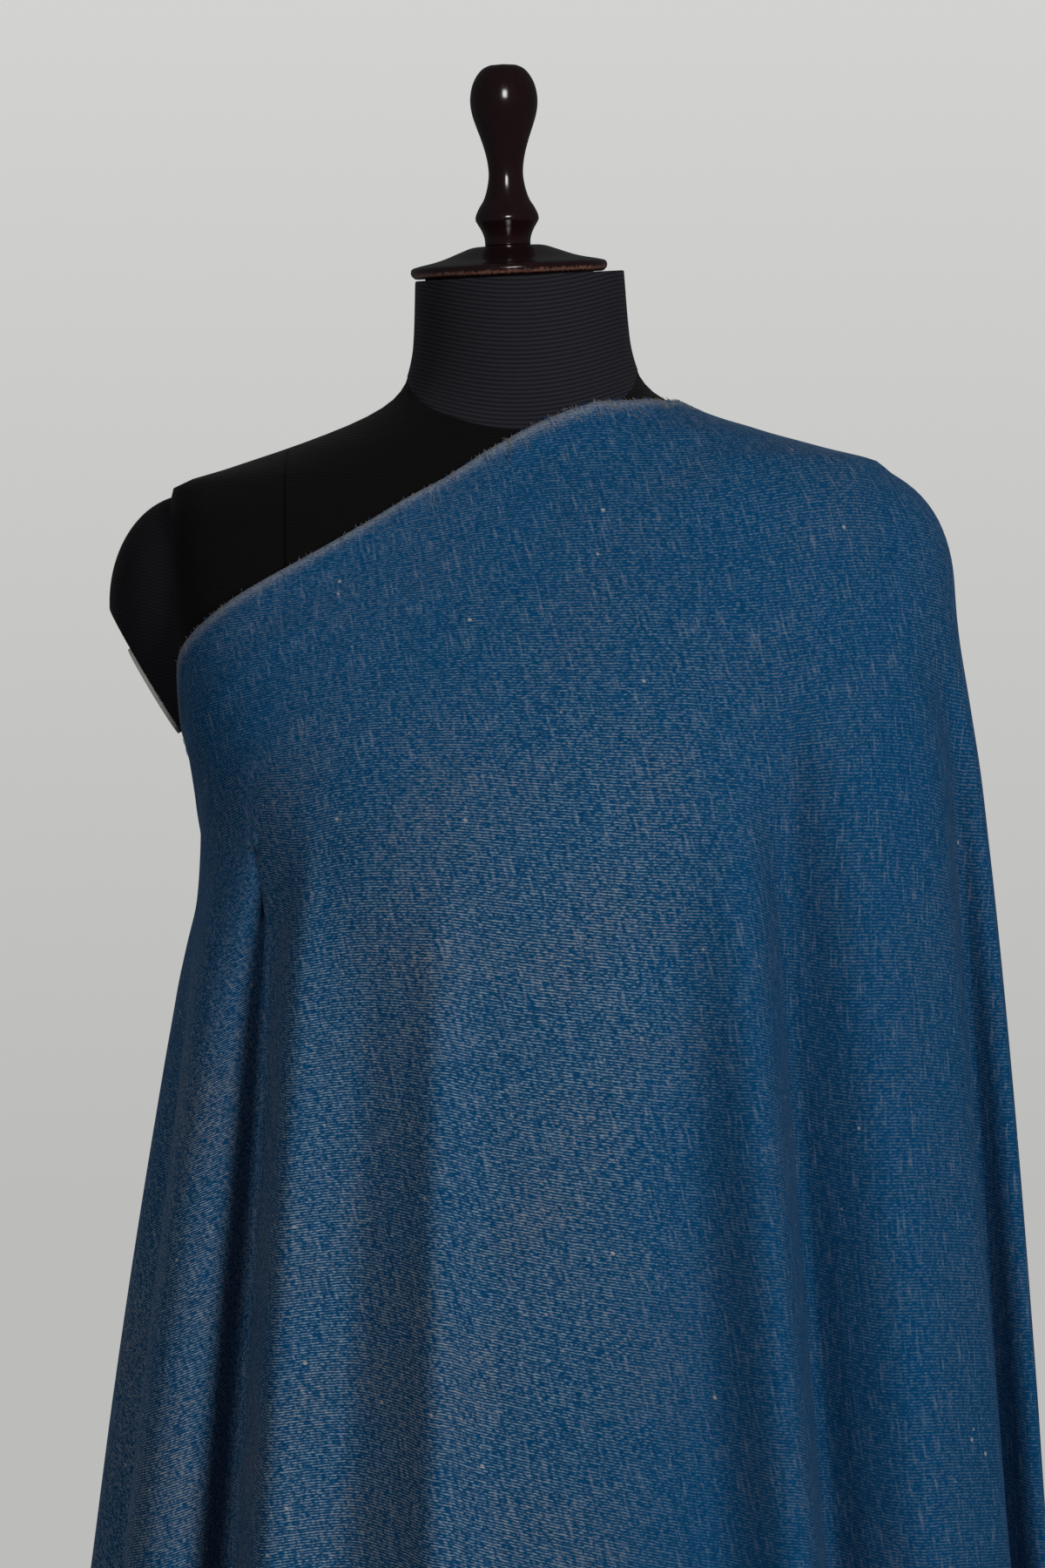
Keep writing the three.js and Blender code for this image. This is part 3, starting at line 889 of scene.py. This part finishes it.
def spun(profile: Sequence[tuple[float, float]], sides: int) -> bmesh.types.BMesh:
    """Turns a profile round the Z axis.

    Args:
        profile: Radius and height of each point, from the axis to the axis.
        sides: Steps in a full turn.

    Returns:
        The closed mesh.
    """
    bm = bmesh.new()
    verts = [bm.verts.new((radius, 0, height)) for radius, height in profile]
    edges = [bm.edges.new(pair) for pair in zip(verts, verts[1:])]
    bmesh.ops.spin(
        bm,
        geom=verts + edges,
        cent=(0, 0, 0),
        axis=(0, 0, 1),
        angle=2 * math.pi,
        steps=sides,
        use_merge=True,
    )
    close_up(bm)
    return bm


def rounded(
    corners: Sequence[tuple[float, float, float]], steps: int = 5
) -> list[tuple[float, float]]:
    """Rounds the corners of a turned profile.

    Args:
        corners: Radius, height and corner radius of each corner.
        steps: Points on each rounded corner.

    Returns:
        The profile's points.
    """
    points: list[tuple[float, float]] = []
    for i, (x, z, corner) in enumerate(corners):
        here = Vector((x, z))
        if corner == 0 or i in (0, len(corners) - 1):
            points.append((x, z))
            continue
        before = Vector(corners[i - 1][:2]) - here
        after = Vector(corners[i + 1][:2]) - here
        reach = min(corner, before.length * 0.49, after.length * 0.49)
        start = here + before.normalized() * reach
        end = here + after.normalized() * reach
        for n in range(steps + 1):
            t = n / steps
            bend = start * (1 - t) ** 2 + here * 2 * t * (1 - t) + end * t * t
            points.append((bend.x, bend.y))
    return points


@dataclass
class Shawl:
    """The shawl: one cloth, with its frayed long edge."""

    drop: float = 1000
    first_turn: float = 98
    last_turn: float = 526
    columns: int = 300
    rows: int = 160
    wall: float = 1.1
    grain_skew: float = 0.2  # the threads lean from the fall lines, as on a slanting edge
    crease_lift: float = 0.42
    crease_band: tuple[float, float] = (45, 55)  # how far down the creases lie, and how widely
    crease_gap: tuple[float, float] = (366, 24)  # the turn at the arm cap without any, and its width
    ruffle_lift: float = 0.25
    ruffle_reach: float = 12
    fray_depth: int = 22
    fray_columns: int = 2400
    fray_share: float = 0.6  # of the columns that have a thread end
    fray_ends: tuple[float, float] = (0.16, 0.06)  # a thread end's radius at its foot and its tip
    loose_threads: int = 150
    loose_ends: tuple[float, float] = (0.15, 0.13)
    drape: Drape = field(default_factory=Drape)

    def turns(self) -> np.ndarray:
        """Gives the turn of each column of points."""
        return np.linspace(self.first_turn, self.last_turn, self.columns + 1)

    def down(self) -> np.ndarray:
        """Gives the distance of each row of points from the top edge, closer near it."""
        even = np.linspace(0, 1, self.rows + 1)
        return self.drop * (0.45 * even + 0.55 * even**1.6)

    def outward(self, points: np.ndarray) -> np.ndarray:
        """Gives the direction out of the cloth.

        Args:
            points: The cloth's points by row, column and axis.

        Returns:
            The direction at each, of length 1.
        """
        round_way = np.gradient(points, axis=1)
        fall = np.gradient(points, axis=0)
        normal = np.cross(fall, round_way)
        return normal / np.linalg.norm(normal, axis=2, keepdims=True)

    def wrinkles(self, turns: np.ndarray, down: np.ndarray) -> np.ndarray:
        """Gives how far soft wrinkles lift the cloth, by row and column.

        Args:
            turns: The turn of each column, in degrees.
            down: The distance of each row from the top edge.

        Returns:
            The lift, which is never below 0.
        """
        turn, fall = np.meshgrid(turns, down)
        # Waves of unlike pace lie over each other, so that no crease or ruffle comes twice.
        pulled = fall * (1 + 0.16 * np.sin(np.radians(turn * 2.3)))
        slant = np.sin(np.radians(turn * 5.3 + fall * 0.6))
        creases = np.sin(pulled / 5.2 + np.radians(turn * 3.1)) * slant
        creases = creases + 0.7 * np.sin(pulled / 8.3 - np.radians(turn * 4.7)) + 1.7
        ruffles = np.sin(np.radians(turn * 19)) + np.sin(np.radians(turn * 31 + 40)) + 2
        middle, spread = self.crease_band
        smooth, width = self.crease_gap
        near = np.exp(-(((fall - middle) / spread) ** 2))
        near = near * (1 - np.exp(-(((turn - smooth) / width) ** 2)))
        ruffled = self.ruffle_lift * np.exp(-fall / self.ruffle_reach) * ruffles
        return self.crease_lift * near * creases + ruffled

    def surface(self, turns: np.ndarray, down: np.ndarray) -> np.ndarray:
        """Gives the cloth's inner face with its wrinkles, on the upright form.

        Args:
            turns: The turn of each column, in degrees.
            down: The distance of each row from the top edge.

        Returns:
            The points by row, column and axis.
        """
        points = self.drape.fall_lines(turns, down)
        return points + self.outward(points) * self.wrinkles(turns, down)[:, :, None]

    def build_frayed_edge(self, material: bpy.types.Material) -> bpy.types.Object:
        """Makes the short thread ends that stand along the top edge, and loose threads below it.

        Args:
            material: The pale wool.

        Returns:
            The thread ends as one piece.
        """
        chance = random.Random(7)
        depths = np.arange(0, self.fray_depth, 1.0)
        turns = np.linspace(self.first_turn + 0.5, self.last_turn - 0.5, self.fray_columns)
        points = self.surface(turns, depths)
        out = self.outward(points)
        bm = bmesh.new()

        def strand(start: Vector, end: Vector, ends: tuple[float, float]) -> None:
            """Adds one tapered thread.

            Args:
                start: Its foot.
                end: Its tip.
                ends: Its radius at each.
            """
            reach = end - start
            turned = reach.to_track_quat("Z", "Y").to_matrix().to_4x4()
            bmesh.ops.create_cone(
                bm,
                cap_ends=True,
                segments=3,
                radius1=ends[0],
                radius2=ends[1],
                depth=reach.length,
                matrix=Matrix.Translation((start + end) / 2) @ turned,
            )

        def outer(row: int, column: int, lift: float) -> Vector:
            """Gives a point above the cloth's outer face."""
            spot = points[row, column] + out[row, column] * (self.wall + lift)
            return lean(Vector(spot))

        for column in range(8, len(turns) - 8):
            if chance.random() > self.fray_share:
                continue
            foot = outer(chance.randint(0, 2), column, -0.5 * chance.random())
            rise = outer(0, column, 0) - outer(2, column, 0)
            aside = outer(0, column + 2, 0) - outer(0, column - 2, 0)
            tip = foot + rise.normalized() * chance.uniform(0.5, 2.4)
            tip = tip + aside.normalized() * chance.uniform(-1.6, 0.6)
            face = lean(Vector(out[0, column]) + Vector((0, 0, BODY_BOTTOM)))
            tip = tip + (face - Vector((0, 0, BODY_BOTTOM))) * chance.uniform(0, 0.7)
            strand(foot, tip, self.fray_ends)
        for _ in range(self.loose_threads):
            column = chance.randint(20, len(turns) - 60)
            row = chance.randint(0, 6)
            slant = chance.uniform(0.8, 2.2)
            length = chance.randint(4, 11)
            spots = [
                outer(row + n, column + round(slant * n), 0.12 + 0.2 * chance.random())
                for n in range(0, length, 2)
            ]
            for first, second in zip(spots, spots[1:]):
                strand(first, second, self.loose_ends)
        return make_piece(bm, "shawl_frayed_edge", material)

    def build(self, material: bpy.types.Material) -> bpy.types.Object:
        """Makes the cloth.

        Args:
            material: The wool twill.

        Returns:
            The cloth, which stands for the four stretches.
        """
        turns, down = self.turns(), self.down()
        points = self.surface(turns, down)
        across = np.linalg.norm(np.diff(points, axis=1), axis=2)
        arc = np.concatenate([np.zeros((len(down), 1)), np.cumsum(across, axis=1)], axis=1)
        front = int(np.argmin(np.abs(turns - FRONT)))
        arc = arc - arc[:, front : front + 1]
        bm = bmesh.new()
        bmesh.ops.create_grid(bm, x_segments=self.columns, y_segments=self.rows, size=1)
        layer = bm.loops.layers.uv.new("cloth")
        place: dict[bmesh.types.BMVert, tuple[int, int]] = {}
        for vert in bm.verts:
            column = round((vert.co.x + 1) / 2 * self.columns)
            row = round((1 - vert.co.y) / 2 * self.rows)
            place[vert] = (row, column)
        for vert, (row, column) in place.items():
            vert.co = lean(Vector(points[row, column]))
        for face in bm.faces:
            for loop in face.loops:
                row, column = place[loop.vert]
                u = arc[row, column] - self.grain_skew * down[row]
                loop[layer].uv = (u * MM, down[row] * MM)
        bm.normal_update()
        before_waist = Vector((0, -200, 900))
        middle = min(bm.faces, key=lambda face: (face.calc_center_median() - before_waist).length)
        if middle.normal.y > 0:
            bmesh.ops.reverse_faces(bm, faces=bm.faces)
        cloth = make_piece(
            bm,
            "shawl_cloth",
            material,
            ("shawl_wrap_end", "shawl_front", "shawl_shoulder", "shawl_back"),
        )
        wall = cloth.modifiers.new("wall", "SOLIDIFY")
        wall.thickness = self.wall * MM
        wall.offset = 1
        wall.use_even_offset = True
        return cloth


@dataclass
class DressForm:
    """The padded body with its neck cover, arm caps and plates."""

    sides: int = 160
    torso_rows: int = 170
    cover_rows: int = 40
    cover: float = 0.3  # the neck cover stands this far out from the outline
    tuck: float = 1.4  # and its lower edge this far in from there
    under_cover: float = 0.8
    covered_from: float = 1392
    neckline: float = 1383  # the height of the seam at the sides
    neckline_dips: tuple[float, float] = (34, 9)  # how far it dips at the front and the back
    drape: Drape = field(default_factory=Drape)

    def seam_height(self, turn: float) -> float:
        """Gives the height of the neckline seam.

        Args:
            turn: The turn about the form's axis, in degrees.

        Returns:
            The seam's height there.
        """
        forward = -math.sin(math.radians(turn))
        dip = self.neckline_dips[0] if forward > 0 else self.neckline_dips[1]
        return self.neckline - dip * abs(forward) ** 1.5

    def wrap(
        self, bm: bmesh.types.BMesh, level: Callable[[float, float], float], grow: Callable[[float], float]
    ) -> None:
        """Lays a spun tube of radius 1 on the form's outline.

        Args:
            bm: The tube, whose heights are given to level and grow.
            level: Gives the height on the form of a tube height and turn.
            grow: Gives how far a tube height stands out from the outline.
        """
        spread = np.array([vert.co.xy.length for vert in bm.verts])
        turns = np.array([math.degrees(math.atan2(vert.co.y, vert.co.x)) for vert in bm.verts])
        heights = np.array([level(vert.co.z, turn) for vert, turn in zip(bm.verts, turns)])
        more = np.array([grow(vert.co.z) for vert in bm.verts])
        reach = spread * (self.drape.form_radius(turns, heights) + more)
        x, y = reach * np.cos(np.radians(turns)), reach * np.sin(np.radians(turns))
        tilt = smoothstep(heights, NECK_TILT_FROM, BODY_TOP)
        z = heights + tilt * (NECK_TOP_ASIDE * x + NECK_TOP_BACK * y)
        for vert, *place in zip(bm.verts, x, y, z):
            vert.co = lean(Vector(place))

    def build_torso(self, material: bpy.types.Material) -> bpy.types.Object:
        """Makes the torso and the neck under its cover.

        Args:
            material: The torso's jersey.

        Returns:
            The torso.
        """
        top = BODY_TOP - 3
        profile = [(0, BODY_BOTTOM), (0.5, BODY_BOTTOM), (0.985, BODY_BOTTOM)]
        heights = np.linspace(BODY_BOTTOM + 1.5, top, self.torso_rows + 1)
        profile += [(1, float(height)) for height in heights]
        profile += [(0.5, top), (0, top)]
        bm = spun(profile, self.sides)
        self.wrap(
            bm, lambda z, turn: z, lambda z: -self.under_cover if z > self.covered_from else 0
        )
        return make_piece(bm, "form_torso", material, ("form_body",))

    def build_neck_cover(self, material: bpy.types.Material) -> bpy.types.Object:
        """Makes the ribbed cover of the neck, down to the curved neckline seam.

        Args:
            material: The neck's jersey.

        Returns:
            The cover.
        """
        rows = self.cover_rows
        profile = [(0, -2), (0.9, -2), (1, -1.5), (1, 0)]
        profile += [(1, n) for n in range(1, rows + 1)]
        profile += [(0.992, rows + 0.6), (0.97, rows + 1), (0.5, rows + 1), (0, rows + 1)]
        bm = spun(profile, self.sides)

        def level(z: float, turn: float) -> float:
            """Spaces the rows from the seam to the top."""
            seam = self.seam_height(turn)
            return min(BODY_TOP - 0.1, seam + (BODY_TOP - 0.7 - seam) * z / rows)

        def grow(z: float) -> float:
            """Tucks the lower edge in under the torso's surface."""
            return self.cover if z > 0.5 else self.cover - self.tuck + max(z, -1) * 0.4

        self.wrap(bm, level, grow)
        return make_piece(bm, "form_neck_cover", material)

    def build_caps(
        self, jersey: bpy.types.Material, board: bpy.types.Material
    ) -> list[bpy.types.Object]:
        """Makes the arm caps and the plates on their slanted cuts.

        Args:
            jersey: The caps' fabric.
            board: The plates' finish.

        Returns:
            The four pieces.
        """
        pieces = []
        cap = self.drape.cap
        for side, word in ((1, "left"), (-1, "right")):
            outer = Vector((side * cap.cut_outer[0], 0, cap.cut_outer[1]))
            inner = Vector((side * cap.cut_inner[0], 0, cap.cut_inner[1]))
            along = (inner - outer).normalized()
            out = Vector((0, -side, 0)).cross(along)
            bm = bmesh.new()
            bmesh.ops.create_uvsphere(bm, u_segments=72, v_segments=48, radius=1)
            for vert in bm.verts:
                tall = cap.above if vert.co.z > 0 else cap.below
                across = side * cap.centre + vert.co.x * cap.out
                vert.co = Vector((across, vert.co.y * cap.deep, cap.middle + vert.co.z * tall))
            hidden = Vector((side * cap.hidden_face, 0, 0))
            for spot, away in ((outer, out), (hidden, Vector((-side, 0, 0)))):
                cut = bmesh.ops.bisect_plane(
                    bm,
                    geom=bm.verts[:] + bm.edges[:] + bm.faces[:],
                    plane_co=spot,
                    plane_no=away,
                    clear_outer=True,
                )
                rim = [item for item in cut["geom_cut"] if isinstance(item, bmesh.types.BMEdge)]
                filled = bmesh.ops.contextual_create(bm, geom=rim)
                bmesh.ops.inset_individual(bm, faces=filled["faces"], thickness=1.2, depth=0)
            close_up(bm)
            for vert in bm.verts:
                vert.co = lean(vert.co)
            pieces.append(
                make_piece(bm, f"form_cap_{word}", jersey, (f"form_arm_cap_{word}",))
            )
            middle = (outer + inner) / 2 + out * SEAM_GAP
            plate = spun(((0, 0), (1, 0), (1, cap.plate_thick), (0, cap.plate_thick)), 64)
            wide = along.cross(out)
            for vert in plate.verts:
                x, y, z = vert.co
                spot = middle + along * (x * cap.plate_long) + wide * (y * cap.plate_wide) + out * z
                vert.co = lean(spot)
            bmesh.ops.recalc_face_normals(plate, faces=plate.faces)
            pieces.append(
                make_piece(plate, f"form_plate_{word}", board, (f"form_arm_plate_{word}",))
            )
        return pieces


@dataclass
class TurnedWood:
    """The turned disc on the neck and the knob on it."""

    rim: float = 50.4
    tilt_aside: float = math.radians(1.1)
    tilt_forward: float = math.radians(6)
    knob_tilt: float = math.radians(1.2)  # back towards upright
    shift: float = -5.2
    disc_height: float = 15.1
    knob_gap: float = 0.5
    laid_on: float = 0.06  # the knob's base above the disc
    felt_radius: float = 43
    worn: float = 0.85
    knob: Sequence[tuple[float, float]] = (
        (0, 0),
        (11.6, 0),
        (11.7, 2.5),
        (12.3, 5),
        (13.6, 8),
        (15.2, 10.7),
        (16.1, 12.6),
        (15.9, 14.9),
        (14.2, 18.7),
        (12, 22.2),
        (10.6, 25.7),
        (9.4, 30.5),
        (8.8, 35.5),
        (9.1, 40.5),
        (10.1, 46),
        (12.1, 53),
        (14.2, 59),
        (16, 64.5),
        (17, 69.6),
        (17.1, 74.5),
        (16.2, 79.6),
        (14.6, 83.6),
        (12.4, 86.9),
        (10, 89.1),
        (6.5, 90.6),
        (0, 91.1),
    )

    def seat(self, point: Vector) -> Vector:
        """Moves a point of the upright turning onto the neck's slanted top.

        Args:
            point: The point, measured from the disc's underside.

        Returns:
            Its place on the leaning form.
        """
        aside = Matrix.Rotation(-self.tilt_aside, 3, "Y")
        forward = Matrix.Rotation(self.tilt_forward, 3, "X")
        return lean(forward @ aside @ point + Vector((self.shift, 0, BODY_TOP + SEAM_GAP)))

    def smooth_profile(self, points: Sequence[tuple[float, float]]) -> list[tuple[float, float]]:
        """Runs a smooth curve through the points of a turned outline.

        Args:
            points: The outline, from the axis to the axis.

        Returns:
            Four points for each stretch between two of them.
        """
        steps = 4
        curve = [Vector(point) for point in points[1:-1]]
        ends = [curve[0] * 2 - curve[1], *curve, curve[-1] + Vector((-2.2, 0.1))]
        result: list[tuple[float, float]] = [points[0]]
        for a, b, c, d in zip(ends, ends[1:], ends[2:], ends[3:]):
            for n in range(steps):
                t = n / steps
                spot = b * 2 + (c - a) * t + (a * 2 - b * 5 + c * 4 - d) * t**2
                spot = (spot + (b * 3 - a - c * 3 + d) * t**3) / 2
                result.append((spot.x, spot.y))
        result.append(tuple(curve[-1]))
        result.append(points[-1])
        return result

    def build_felt(self, material: bpy.types.Material) -> bpy.types.Object:
        """Makes the thin felt on which the disc lies, filling the wedge between it and the neck.

        Args:
            material: The felt's finish.

        Returns:
            The felt.
        """
        felt = spun(((0, 0), (self.felt_radius, 0), (self.felt_radius, 1), (0, 1)), 96)
        for vert in felt.verts:
            upper = self.seat(Vector((vert.co.x, vert.co.y, -0.04)))
            x, y = vert.co.x + self.shift, vert.co.y
            rise = NECK_TOP_ASIDE * x + NECK_TOP_BACK * y
            lower = lean(Vector((x, y, BODY_TOP + rise - 0.05)))
            vert.co = upper if vert.co.z > 0.5 else lower
        return make_piece(felt, "neck_felt", material)

    def build(self, material: bpy.types.Material) -> list[bpy.types.Object]:
        """Makes both pieces.

        Args:
            material: The lacquered wood.

        Returns:
            The disc and the knob.
        """
        rim = self.rim
        disc = spun(
            rounded(
                (
                    (0, 0, 0),
                    (rim - 2.4, 0, 1),
                    (rim, 2.2, 2.4),
                    (rim - 0.4, 5.4, 2.4),
                    (rim - 5, 6.6, 3),
                    (35, 8.6, 8),
                    (25, 12.4, 5),
                    (19, self.disc_height - 0.5, 3),
                    (15, self.disc_height, 2),
                    (0, self.disc_height, 0),
                )
            ),
            144,
        )
        wear = disc.verts.layers.float.new("wear")
        for vert in disc.verts:
            lower = max(0.0, 1 - abs(vert.co.z - 1.6) / 3.2)
            outer = max(0.0, 1 - (rim - vert.co.xy.length) / 5)
            vert[wear] = self.worn * lower * outer
            vert.co = self.seat(vert.co)
        knob = spun(self.smooth_profile(self.knob), 96)
        lift = Vector((0, 0, self.disc_height + self.knob_gap))
        upright = Matrix.Rotation(self.knob_tilt, 3, "Y")
        for vert in knob.verts:
            spot = upright @ vert.co + lift
            if vert.co.z < 0.01:
                spot.z = self.disc_height + self.laid_on
            vert.co = self.seat(spot)
        return [
            make_piece(disc, "neck_disc", material, ("form_neck_cap",)),
            make_piece(knob, "neck_knob", material, ("form_knob",)),
        ]


@dataclass
class Stand:
    """The collar under the form, the post and the round cast base."""

    base_radius: float = 195
    base_thickness: float = 7
    hub_height: float = 62
    post_radius: float = 14
    collar_radius: float = 46
    collar_height: float = 24
    post_gap: float = 0.7

    def build(
        self, paint: bpy.types.Material, iron: bpy.types.Material
    ) -> list[bpy.types.Object]:
        """Makes the stand.

        Args:
            paint: The finish of the collar and the post.
            iron: The finish of the base.

        Returns:
            The three pieces.
        """
        radius, thick, hub = self.base_radius, self.base_thickness, self.hub_height
        base = spun(
            rounded(
                (
                    (0, 0, 0),
                    (radius - 2, 0, 0),
                    (radius, 2, 0),
                    (radius, thick - 1, 3),
                    (radius - 3, thick, 2),
                    (60, 11, 25),
                    (34, 18, 12),
                    (26, 30, 10),
                    (24, hub - 2, 3),
                    (21, hub, 2),
                    (0, hub, 0),
                )
            ),
            144,
        )
        top = BODY_BOTTOM - self.collar_height - self.post_gap - SEAM_GAP
        bottom = hub + SEAM_GAP
        thin = self.post_radius
        post = spun(rounded(((0, bottom, 0), (thin, bottom, 0.6), (thin, top, 0.6), (0, top, 0))), 72)
        wide, tall = self.collar_radius, self.collar_height
        collar = spun(
            rounded(
                (
                    (0, -tall, 0),
                    (24, -tall, 2),
                    (24, -7.5, 1.5),
                    (wide, -7, 2),
                    (wide, 0, 1),
                    (0, 0, 0),
                )
            ),
            96,
        )
        for vert in collar.verts:
            vert.co = lean(vert.co + Vector((0, 0, BODY_BOTTOM - SEAM_GAP)))
        return [
            make_piece(base, "stand_base", iron, ("form_base",)),
            make_piece(post, "stand_post", paint, ("form_post",)),
            make_piece(collar, "stand_collar", paint, ("form_collar",)),
        ]


@dataclass
class Studio:
    """The pale studio round the part, its lights and the camera."""

    seen_height: float = 0.8  # of the plane through the form's axis
    distance: float = 2.4
    camera_at: tuple[float, float] = (-0.0198, 1.174)
    floor_radius: float = 10
    floor_height: float = -0.0005
    wall_bend: float = 3
    wall_height: float = 9
    glow: tuple[float, float] = (0.55, 0.81)  # of the paper at the floor and high on the wall
    glow_rise: float = 6
    lit_height: float = 1.15  # at which the softboxes point

    def build_camera(self) -> None:
        """Sets the camera at the photograph's place."""
        data = bpy.data.cameras.new("camera")
        data.sensor_width = 36
        data.lens = data.sensor_width * self.distance / self.seen_height
        data.clip_end = 60
        camera = bpy.data.objects.new("camera", data)
        camera.location = (self.camera_at[0], -self.distance, self.camera_at[1])
        camera.rotation_euler = (math.pi / 2, 0, 0)
        bpy.context.scene.collection.objects.link(camera)
        bpy.context.scene.camera = camera

    def build_room(self) -> None:
        """Makes a floor that bends up into a wall all round, far past the camera."""
        reach, bend, floor_height = self.floor_radius, self.wall_bend, self.floor_height
        profile = [(0.0, floor_height), (reach * 0.5, floor_height)]
        for n in range(13):
            angle = math.pi / 2 * n / 12
            rise = bend * (1 - math.cos(angle))
            profile.append((reach + bend * math.sin(angle), floor_height + rise))
        profile.append((reach + bend, self.wall_height))
        room = spun(profile, 96)
        bmesh.ops.reverse_faces(room, faces=room.faces)
        mesh = bpy.data.meshes.new("studio_floor")
        room.to_mesh(mesh)
        room.free()
        mesh.shade_smooth()
        w = NodeWriter("studio_paper")
        place = w.add("TexCoord").outputs["Object"]
        axes = w.add("SeparateXYZ", Vector=place)
        low, high = self.glow
        rising = w.add(
            "MapRange", Value=axes.outputs["Z"], From_Max=self.glow_rise, To_Min=low, To_Max=high
        )
        shader = w.add(
            "BsdfPrincipled",
            Base_Color=srgb("#5a5a5a"),
            Roughness=0.95,
            Emission_Color=srgb("#f4f4f2"),
            Emission_Strength=rising.outputs[0],
        )
        mesh.materials.append(w.finish(shader))
        floor = bpy.data.objects.new("studio_floor", mesh)
        bpy.context.scene.collection.objects.link(floor)
        floor.visible_diffuse = False
        floor.visible_glossy = False

    def add_light(
        self,
        name: str,
        turn: float,
        distance: float,
        height: float,
        size: tuple[float, float],
        watts: float,
        mirrored: bool = False,
    ) -> None:
        """Adds a softbox that faces the form.

        Args:
            name: Its name.
            turn: Its turn from straight in front, in degrees, positive to the image's right.
            distance: How far it stands from the axis.
            height: The height of its middle.
            size: Its width and height.
            watts: Its power.
            mirrored: Whether it is the one that shines in glossy surfaces and lights nothing else.
        """
        data = bpy.data.lights.new(name, "AREA")
        data.shape = "RECTANGLE"
        data.size, data.size_y = size
        data.energy = watts
        light = bpy.data.objects.new(name, data)
        angle = math.radians(turn)
        light.location = (distance * math.sin(angle), -distance * math.cos(angle), height)
        aim = Vector((0, 0, self.lit_height)) - light.location
        light.rotation_euler = aim.to_track_quat("-Z", "Y").to_euler()
        light.visible_camera = False
        light.visible_glossy = mirrored
        light.visible_diffuse = not mirrored
        bpy.context.scene.collection.objects.link(light)

    def build_lights(self) -> None:
        """Adds the front and back softboxes, one more for the gloss, and a low even light."""
        self.add_light("fill_left", -24, 2.6, 1.75, (0.8, 1.2), 22)
        self.add_light("key_right", 40, 2.6, 1.72, (0.8, 1.2), 46)
        self.add_light("front_gloss", 3, 2.6, 1.95, (0.6, 0.7), 9, mirrored=True)
        self.add_light("back_left", -150, 3.2, 2.1, (1.2, 1.2), 24)
        self.add_light("back_right", 150, 3.2, 2.1, (1.2, 1.2), 24)
        world = bpy.data.worlds.new("studio_air")
        world.use_nodes = True
        shade = world.node_tree.nodes["Background"]
        shade.inputs["Color"].default_value = srgb("#e4e7ec")
        shade.inputs["Strength"].default_value = 0.04
        bpy.context.scene.world = world

    def build(self) -> None:
        """Sets up the camera, the room and the lights."""
        bpy.context.scene.view_settings.view_transform = "Standard"
        self.build_camera()
        self.build_room()
        self.build_lights()


def main() -> None:
    """Builds the studio and every piece of the part."""
    logging.basicConfig(level=logging.INFO, format="%(message)s")
    Studio().build()
    shawl = Shawl()
    cloth = shawl.build(WoolTwill().build())
    shawl.build_frayed_edge(PaleWool().build())
    form = DressForm()
    torso = RibbedJersey("jersey_torso", Weave.TORSO_RIB, "#0a0a0a", "#121112", 0, 120)
    neck = RibbedJersey("jersey_neck_rib", Weave.NECK_RIB, "#18181c", "#2b2b31", 11)
    caps = RibbedJersey("jersey_cap_rib", Weave.CAP_RIB, "#121215", "#1c1c20", 2)
    form.build_torso(torso.build())
    rib = neck.build()
    form.build_neck_cover(rib)
    form.build_caps(caps.build(), PaperBoard().build())
    turning = TurnedWood()
    turning.build(LacqueredMahogany().build())
    turning.build_felt(rib)
    paint = SatinPaint("paint_black_satin")
    iron = SatinPaint("iron_black_satin", peel=2.4)
    Stand().build(paint.build(), iron.build())


if __name__ == "__main__":
    main()
